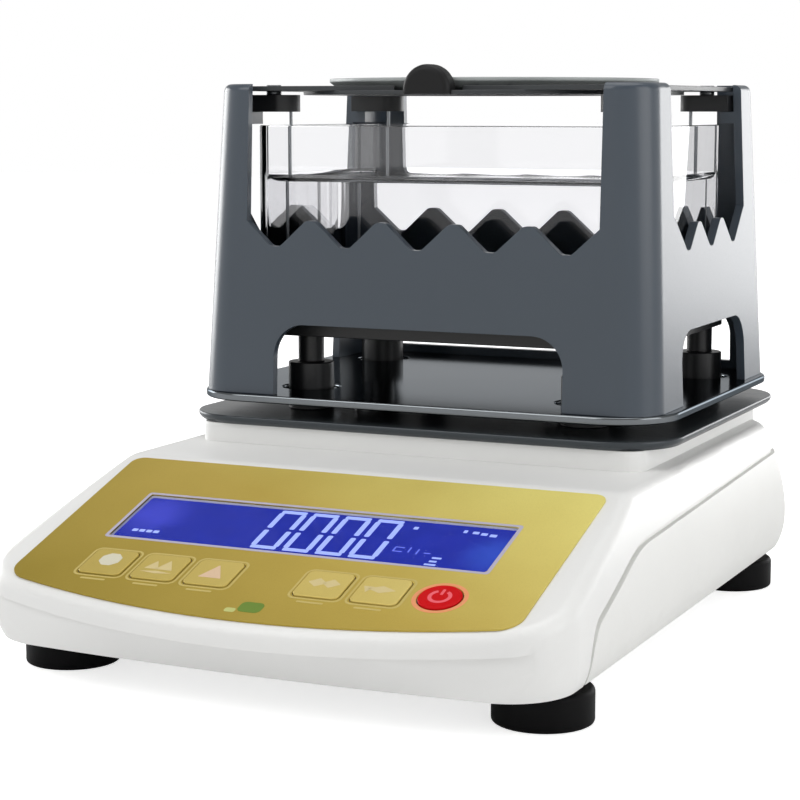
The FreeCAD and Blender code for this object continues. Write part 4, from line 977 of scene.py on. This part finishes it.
@dataclass
class ControlPanel:
    """Gold film with its display, keys and printed marks, on the sloping front.

    Sizes are in millimetres. A place on the panel is given across from the middle, down the
    slope from the break where the deck turns down, and out from the slope.
    """

    shop: Workshop
    tilt_degrees: float = 17.9
    break_y: float = -44.3
    deck_height: float = 58.0
    film_edge_mm: float = 0.12
    module_edge_mm: float = 0.2
    film_out: float = 0.6
    key_out: float = 1.1
    marks_out: float = -0.58        # just over the crystal's face
    ink: float = 0.05
    display_middle: float = 40.8
    display_width: float = 125.5
    display_height: float = 26.8
    frame_gap: float = 0.1
    frame_line: float = 1.1
    key_row: float = 70.2
    square_keys: tuple[str, ...] = ("count", "mode", "print", "zero", "enter")
    key_width: float = 14.6
    key_height: float = 14.0
    key_gap: float = 0.6
    key_line: float = 0.7
    key_frame_corner: float = 2.6
    key_bar_width: float = 8.4
    key_bar_height: float = 0.9
    key_bar_drop: float = 9.6       # key row to the bar under each key
    figure_corner: float = 0.3
    power_radius: float = 6.4
    sign_outer: float = 3.5
    sign_inner: float = 2.4
    sign_gap: float = 0.95          # half the opening at the top of the sign
    stem_width: float = 0.85
    stem_height: float = 3.0
    stem_rise: float = 2.4
    halo_inner: float = 0.45        # past the key's edge
    halo_outer: float = 1.7
    digit_across: tuple[float, ...] = (-10.8, 0.1, 11.0, 21.9)
    digit_down: float = 40.0
    digit_width: float = 9.3
    digit_height: float = 23.4
    digit_gap: float = 0.35
    stroke: float = 1.75
    stroke_round: float = 0.3       # share of a stroke that rounds its corners
    bar_corner: float = 0.2
    # small bars of the display, each by across, down, width and height
    lit_bars: tuple[tuple[float, float, float, float], ...] = (
        (-57.0, 48.2, 1.9, 1.5), (-54.5, 48.2, 1.9, 1.5), (-52.0, 48.2, 1.9, 1.5),
        (-49.5, 48.2, 1.9, 1.5), (31.2, 31.6, 1.5, 1.5), (44.6, 47.6, 3.0, 0.9),
        (44.2, 49.6, 2.4, 0.9), (44.0, 51.5, 3.6, 0.9), (47.0, 31.0, 1.2, 1.6),
        (50.4, 31.2, 2.0, 1.4), (53.2, 31.6, 2.0, 1.4), (56.2, 32.0, 2.2, 1.5))
    dim_bars: tuple[tuple[float, float, float, float], ...] = (
        (31.2, 43.4, 3.0, 0.5), (31.2, 45.8, 3.0, 0.5), (29.8, 44.6, 0.5, 2.6),
        (34.6, 44.4, 0.5, 3.0), (37.4, 45.0, 0.5, 3.0), (40.6, 45.4, 2.2, 0.5))
    # the green field and its pale tip, each by across, down, width, height and corner
    green_field: tuple[float, ...] = (3.4, 85.6, 7.4, 5.4, 1.8)
    green_tip: tuple[float, ...] = (-2.2, 88.0, 3.4, 2.2, 0.8)

    def build(self) -> None:
        """Dress the panel's nodes and add what is printed and lit on it."""
        self.shop.dress("panel_overlay", self.film_edge_mm)
        self.shop.dress("display_window", self.film_edge_mm)
        self.shop.dress("display_module", self.module_edge_mm)
        for key in (*self.square_keys, "power"):
            self.shop.dress(f"{key}_key", 0.0, 50.0)
        self.add_display_frame()
        self.add_digits()
        self.add_display_marks()
        self.add_key_frames()
        self.add_key_marks()
        self.add_power_marks()
        self.add_green_mark()

    def lay(self, piece: Object) -> Object:
        """Lay a flat piece on the panel.

        Args:
            piece: Made flat, with X across, Y up the slope from the break and Z out.

        Returns:
            The piece in its place.
        """
        take(piece)
        piece.rotation_euler = (math.radians(self.tilt_degrees), 0.0, 0.0)
        piece.location = Vector((0.0, self.break_y, self.deck_height)) * MM
        return settle(piece)

    def add_display_frame(self) -> None:
        """Add the pale line printed round the display."""
        margin = self.frame_gap + self.frame_line
        frame = plate(self.display_width + 2 * margin, self.display_height + 2 * margin,
                      self.ink, (0.0, -self.display_middle, self.film_out), margin,
                      self.frame_line)
        self.shop.add(self.lay(frame), "display_frame_line", "base", "gold_film", "frame_ink")

    def bar(self, segment: Segment) -> Object:
        """Make one bar of a digit that stands at the origin."""
        side, half = segment.value
        gap = self.digit_gap
        if side == 0:
            width, height = self.digit_width - 2 * gap, self.stroke
            x, y = 0.0, half * (self.digit_height - self.stroke) / 2
        else:
            width, height = self.stroke, self.digit_height / 2 - self.stroke - 2 * gap
            x, y = side * (self.digit_width - self.stroke) / 2, half * self.digit_height / 2
            y -= math.copysign(self.stroke / 2 - gap, half)
        return plate(width, height, self.ink, (x, y - self.digit_down, self.marks_out),
                     self.stroke * self.stroke_round)

    def add_digits(self) -> None:
        """Add the lit noughts of the reading."""
        nought = join([self.bar(segment) for segment in Segment])
        row = [copy_of(nought, (across, 0.0, 0.0)) for across in self.digit_across]
        bpy.data.objects.remove(nought)
        self.shop.add(self.lay(join(row)), "display_digits", "base", "lcd_blue",
                      "lit_segment")

    def add_display_marks(self) -> None:
        """Add the small lit and unlit bars of the display."""
        for name, finish, bars in (("display_marks", "lit_segment", self.lit_bars),
                                   ("display_dim_marks", "dim_segment", self.dim_bars)):
            pieces = [plate(width, height, self.ink, (across, -down, self.marks_out),
                            self.bar_corner) for across, down, width, height in bars]
            self.shop.add(self.lay(join(pieces)), name, "base", "lcd_blue", finish)

    def add_key_frames(self) -> None:
        """Add the embossed line round each square key and the bar below it."""
        margin = self.key_gap + self.key_line
        frames, bars = [], []
        for key in self.square_keys:
            across = box_mm(f"{key}_key")[1].x
            frames.append(plate(self.key_width + 2 * margin, self.key_height + 2 * margin,
                                self.ink, (across, -self.key_row, self.film_out),
                                self.key_frame_corner, self.key_line))
            bars.append(plate(self.key_bar_width, self.key_bar_height, self.ink,
                              (across, -self.key_row - self.key_bar_drop, self.film_out)))
        self.shop.add(self.lay(join(frames)), "key_frame_lines", "base", "gold_film",
                      "emboss_ink")
        self.shop.add(self.lay(join(bars)), "key_bars", "base", "gold_film", "emboss_ink")

    def figure(self, shape: Figure, across: float) -> Object:
        """Make a printed figure for a key's top.

        Args:
            shape: Its corners, size, stretch, turn and place.
            across: The key's place across the panel.

        Returns:
            The figure, before it is laid on the panel.
        """
        deselect()
        bpy.ops.mesh.primitive_circle_add(
            vertices=shape.corners, radius=shape.radius * MM, fill_type="NGON",
            rotation=(0.0, 0.0, math.radians(shape.turn_degrees)))
        piece = settle(bpy.context.object)
        piece.scale = (*shape.stretch, 1.0)
        piece.location = Vector((across + shape.place[0], shape.place[1] - self.key_row,
                                 self.key_out)) * MM
        edit_all(settle(piece))
        bpy.ops.mesh.bevel(offset=self.figure_corner * MM, segments=3, affect="VERTICES")
        thicken(piece, self.ink)
        return piece

    def add_key_marks(self) -> None:
        """Add the generic figures printed on each square key, which ride on it."""
        for key in self.square_keys:
            ink, shapes = KEY_MARKS[key]
            across = box_mm(f"{key}_key")[1].x
            mark = self.lay(join([self.figure(shape, across) for shape in shapes]))
            self.shop.add(mark, f"{key}_key_mark", f"{key}_key_cap",
                          self.shop.slots[f"{key}_key"], ink)

    def add_power_marks(self) -> None:
        """Add the power sign on the round key and the halo printed round it."""
        across = box_mm("power_key")[1].x
        sign = ring(self.sign_outer, self.sign_inner, self.ink,
                    (across, -self.key_row, self.key_out), vertices=48)
        take(sign)
        middle = Vector((across, -self.key_row, 0.0)) * MM
        for vertex in sign.data.vertices:
            offset = vertex.co - middle
            vertex.select = offset.y > 0 and abs(offset.x) < self.sign_gap * MM
        for edge in sign.data.edges:
            edge.select = all(sign.data.vertices[i].select for i in edge.vertices)
        for face in sign.data.polygons:
            face.select = all(sign.data.vertices[i].select for i in face.vertices)
        bpy.ops.object.mode_set(mode="EDIT")
        bpy.ops.mesh.delete(type="VERT")
        bpy.ops.mesh.select_all(action="SELECT")
        bpy.ops.mesh.fill_holes(sides=4)
        bpy.ops.object.mode_set(mode="OBJECT")
        stem = plate(self.stem_width, self.stem_height, self.ink,
                     (across, -self.key_row + self.stem_rise, self.key_out))
        self.shop.add(self.lay(join([sign, stem])), "power_key_mark", "power_key_cap",
                      "red_key", "power_ink")
        halo = ring(self.power_radius + self.halo_outer, self.power_radius + self.halo_inner,
                    self.ink, (across, -self.key_row, self.film_out))
        self.shop.add(self.lay(halo), "power_key_halo", "base", "gold_film", "halo_ink")

    def add_green_mark(self) -> None:
        """Add the small green field printed between the two groups of keys."""
        for name, ink, spot in (("green_field", "green_ink", self.green_field),
                                ("green_field_tip", "lime_ink", self.green_tip)):
            across, down, width, height, corner = spot
            mark = plate(width, height, self.ink, (across, -down, self.film_out), corner)
            self.shop.add(self.lay(mark), name, "base", "gold_film", ink)


# ---- plates, rack, tank, hanger, electronics -------------------------------------------


@dataclass
class Plates:
    """Fixed deck plate, and the weighing pan over it."""

    shop: Workshop
    deck_edge_mm: float = 0.7
    pan_edge_mm: float = 0.8

    def build(self) -> None:
        """Dress both plates and paint what carries the pan."""
        self.shop.dress("deck_plate", self.deck_edge_mm, segments=3)
        self.shop.dress("weighing_pan", self.pan_edge_mm, 50.0, 3)
        for node in ("pan_carrier", "peg_caps", "carrier_screws", "load_cell",
                     "load_cell_foot", "load_cell_screws"):
            self.shop.keep(node)


@dataclass
class Rack:
    """Slate-grey moulding on the pan, open at its four sides."""

    shop: Workshop
    edge_mm: float = 0.5

    def build(self) -> None:
        """Dress the rack."""
        self.shop.dress("rack", self.edge_mm, 30.0, 3)


@dataclass
class Tank:
    """Clear tank, the water in it and the stand that keeps it off the pan."""

    shop: Workshop
    tank_edge_mm: float = 0.5
    stand_edge_mm: float = 0.4
    wall: float = 3.0
    corner_radius: float = 2.0
    level: float = 146.5            # bench to the water's surface
    overlap: float = 0.04           # how far the water runs into the walls
    # the surface falls off like a small wave from the wall: steps inwards and down
    creep: tuple[tuple[float, float], ...] = (
        (0.4, 0.7), (0.5, 0.6), (0.6, 0.5), (0.8, 0.4), (1.1, 0.27), (1.8, 0.13))

    def build(self) -> None:
        """Dress the tank and its stand, and fill the tank."""
        self.shop.dress("water_tank", self.tank_edge_mm, segments=3)
        self.shop.dress("tank_stand", self.stand_edge_mm)
        self.add_water()

    def add_water(self) -> None:
        """Add the water, which creeps up a little along the walls."""
        inset = self.wall - self.overlap
        lowest, middle, highest = box_mm("water_tank")
        width = highest.x - lowest.x - 2 * inset
        depth = highest.y - lowest.y - 2 * inset
        low = lowest.z + inset
        rise = sum(drop for _, drop in self.creep)
        body = plate(width, depth, self.level + rise - low, (middle.x, middle.y, low),
                     self.corner_radius)
        take(body)
        for group in (body.data.polygons, body.data.edges, body.data.vertices):
            group.foreach_set("select", [False] * len(group))
        for vertex in body.data.vertices:
            vertex.select = vertex.co.z > self.level * MM
        bpy.ops.object.mode_set(mode="EDIT")
        for step, drop in self.creep:
            bpy.ops.mesh.extrude_region_move(
                TRANSFORM_OT_translate={"value": (0.0, 0.0, -drop * MM)})
            bpy.ops.transform.resize(value=(1 - 2 * step / width, 1 - 2 * step / depth, 1.0))
            width, depth = width - 2 * step, depth - 2 * step
        bpy.ops.object.mode_set(mode="OBJECT")
        round_edges(body, 0.0, 50.0)
        self.shop.add(body, "water", "base", "clear_acrylic", "water")


@dataclass
class Hanger:
    """Dish and its carrier on the rack, with the basket hung under them."""

    shop: Workshop
    # each node with its rounding, the angle of the edges rounded, and a finish of its own
    edges_mm: tuple[tuple[str, float, float, str], ...] = (
        ("dish_carrier", 0.35, 40.0, "carrier_abs"), ("dish", 0.3, 50.0, ""),
        ("lift_knob", 0.3, 40.0, "knob_abs"), ("hanger_blocks", 0.5, 40.0, ""),
        ("hanger_pins", 0.2, 40.0, ""), ("hanging_wires", 0.0, 50.0, ""),
        ("basket", 0.2, 40.0, ""))

    def build(self) -> None:
        """Dress every node of the hanger."""
        for node, edge, degrees, finish in self.edges_mm:
            self.shop.dress(node, edge, degrees, finish=finish)


@dataclass
class Electronics:
    """Boards inside the housing and the two sockets in its back."""

    shop: Workshop
    socket_edge_mm: float = 0.25
    socket_face: float = 134.9      # middle of the instrument to the sockets' back faces
    jack_spread: float = 12.5       # middle of the serial socket to its nuts
    nut_outer: float = 2.7
    nut_inner: float = 1.2
    nut_height: float = 0.6
    contact_outer: float = 4.4
    contact_inner: float = 3.2
    contact_height: float = 0.5

    def build(self) -> None:
        """Dress the sockets, paint the boards and add the small metal parts."""
        self.shop.dress("power_socket", self.socket_edge_mm)
        self.shop.dress("serial_socket", self.socket_edge_mm)
        for node in ("main_board", "board_standoffs", "key_board", "key_switches"):
            self.shop.keep(node)
        nuts = [ring(self.nut_outer, self.nut_inner, self.nut_height,
                     (side * self.jack_spread, 0.0, 0.0), vertices=6) for side in (-1, 1)]
        contact = [ring(self.contact_outer, self.contact_inner, self.contact_height,
                        (0.0, 0.0, 0.0), vertices=48)]
        for name, parts, socket in (("jack_nuts", nuts, "serial_socket"),
                                    ("power_socket_ring", contact, "power_socket")):
            self.shop.add(self.face_back(join(parts), socket), name, "base", "zinc_steel",
                          "zinc_steel")

    def face_back(self, piece: Object, socket: str) -> Object:
        """Stand a flat piece on the back face of a socket.

        Args:
            piece: Made flat at the origin, with Z out.
            socket: Name of the socket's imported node.

        Returns:
            The piece in its place.
        """
        middle = box_mm(socket)[1]
        take(piece)
        piece.rotation_euler = (math.radians(-90.0), 0.0, 0.0)
        piece.location = Vector((middle.x, self.socket_face, middle.z)) * MM
        return settle(piece)


# ---- main ------------------------------------------------------------------------------


FINISHES: dict[str, Finish] = {
    # a fine eroded grain keeps the white shells satin: lamps show as soft fields, not spots
    "white_abs": MouldedPlastic("moulded white ABS, satin", "#EDEDEB", 0.36, 0.5, 0.08),
    "white_abs_lower": MouldedPlastic("moulded white ABS, fine grain", "#EBEBE8", 0.42, 0.6,
                                      0.12),
    # painted shade near left, painted sheen far right; flakes shine by patches; keys a bit
    # brighter
    "gold_film": GoldFilm("gold ink on satin polyester film", "#96801C", "#BCA348",
                          "#EFE384"),
    "gold_key": GoldFilm("gold ink on a domed key", "#B59E48", "#D2BC68", "#F0E59A",
                         roughness=0.4),
    # its low gloss keeps the red deep
    "red_key": MouldedPlastic("red acrylic key cap", "#CE0810", 0.3, 0.4, 0.03, ior=1.2),
    # a coated window that hardly mirrors, so that the blue behind it stays full
    "clear_window": ClearPiece("clear polycarbonate, anti-glare", "#FFFFFF", 1.05,
                               roughness=0.03, ripple_depth=0.0, shine=0.05),
    "lcd_blue": BackLitCrystal("liquid crystal cell on a blue light guide", "#2833A2",
                               "#4A50D0", "#3A58C8"),
    # green varnish over copper, where the tracks show as paler lines
    "circuit_board": BoardLaminate("glass-fibre board under green solder mask", "#1D5A2C",
                                   "#3E8A4E"),
    "switch_plastic": MouldedPlastic("moulded black nylon switch", "#202022", 0.5, 0.4, 0.05),
    # nylon without dye is milky and a little yellow
    "standoff_nylon": MouldedPlastic("natural nylon", "#DAD7CC", 0.5, 0.4, 0.05),
    # rubber drinks the light: nearly black, with a dull edge and no spot
    "foot_rubber": MouldedPlastic("moulded black rubber", "#0C0C0D", 0.55, 0.5, 0.15,
                                  ior=1.2),
    "cap_rubber": MouldedPlastic("soft black rubber", "#1C1C1C", 0.65, 0.5, 0.2),
    # plating, turning and milling leave bare metals bright, with soft lines along X
    "zinc_steel": SheetMetal("bright zinc-plated steel", "#C4C6C9", 0.25),
    "insert_brass": SheetMetal("machined brass", "#C8A24C", 0.3),
    "cell_aluminium": SheetMetal("machined aluminium", "#CFD0D2", 0.35),
    # enamel hides most of the metal and leaves a grey shine
    "plate_steel": SheetMetal("grey enamelled steel sheet", "#3C4145", 0.3, metallic=0.4),
    # the pan mirrors the dark rack over it, and its rim shows as one pale line
    "pan_steel": SheetMetal("satin stainless sheet", "#7C8083", 0.12, edge_colour="#A0A4A8"),
    # slate blue-grey that turns pale where it is seen along its face
    "slate_abs": MouldedPlastic("moulded slate ABS", "#414A54", 0.3, 0.5, 0.06),
    # clear walls show by their dark edges and a weak mirror of the room
    "clear_acrylic": ClearPiece("clear cast acrylic", "#FAFAFB", 1.38, shine=0.3),
    "water": ClearPiece("water", "#FAFAFB", 1.333, ripple_mm=14.0, ripple_depth=0.01,
                        shine=0.3),
    # three blacks: satin stand and blocks, greyer carrier, matt knob
    "black_abs": MouldedPlastic("moulded black ABS", "#151618", 0.4, 0.5, 0.1),
    "carrier_abs": MouldedPlastic("moulded dark grey ABS", "#2F3336", 0.4, 0.5, 0.1),
    "knob_abs": MouldedPlastic("moulded black ABS, matt", "#151516", 0.5, 0.5, 0.1,
                               ior=1.35),
    "socket_plastic": MouldedPlastic("moulded black polyester", "#161618", 0.5, 0.5, 0.1),
    # anodising is a matt oxide, more grey than mirror
    "dish_alloy": SheetMetal("satin anodised aluminium", "#B4B9B8", 0.5, metallic=0.25),
    "wire_steel": SheetMetal("drawn stainless wire", "#8A8D90", 0.3),
    "basket_steel": SheetMetal("perforated stainless sheet", "#A8ABAE", 0.25),
    # inks lie flat and dull on the film, and only the display's segments give light
    "frame_ink": PrintedInk("lilac line ink", "#B9B4C8"),
    "lit_segment": PrintedInk("lit crystal segment", "#98AAF0", 0.5),
    "dim_segment": PrintedInk("half-lit crystal segment", "#5A6AD0", 0.6),
    "emboss_ink": PrintedInk("pale gold line ink", "#C9B566"),
    "pale_ink": PrintedInk("ivory key ink", "#DAD5BE"),
    "warm_ink": PrintedInk("sand key ink", "#D8C58C"),
    "pink_ink": PrintedInk("rose key ink", "#E0C09E"),
    "power_ink": PrintedInk("rose power-sign ink", "#F2606C"),
    "halo_ink": PrintedInk("peach halo ink", "#EE9A66"),
    "green_ink": PrintedInk("green field ink", "#66861C"),
    "lime_ink": PrintedInk("lime field ink", "#C4C878"),
}


def main() -> None:
    """Build the scene in order and report each piece."""
    logging.basicConfig(level=logging.INFO, format="%(message)s")
    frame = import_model()
    Studio().build()
    record = frame["record"]
    shop = Workshop(
        nodes=frame["nodes"],
        carriers={node: body for body, members in record["behaviour"]["bodies"].items()
                  for node in members},
        slots={part["node"]: part["material_slot"] for part in record["subparts"]},
        finishes={name: finish.build() for name, finish in FINISHES.items()})
    for group in (Housing, ControlPanel, Plates, Rack, Tank, Hanger, Electronics):
        group(shop).build()
        log.info("finished %s", group.__name__)


if __name__ == "__main__":
    main()
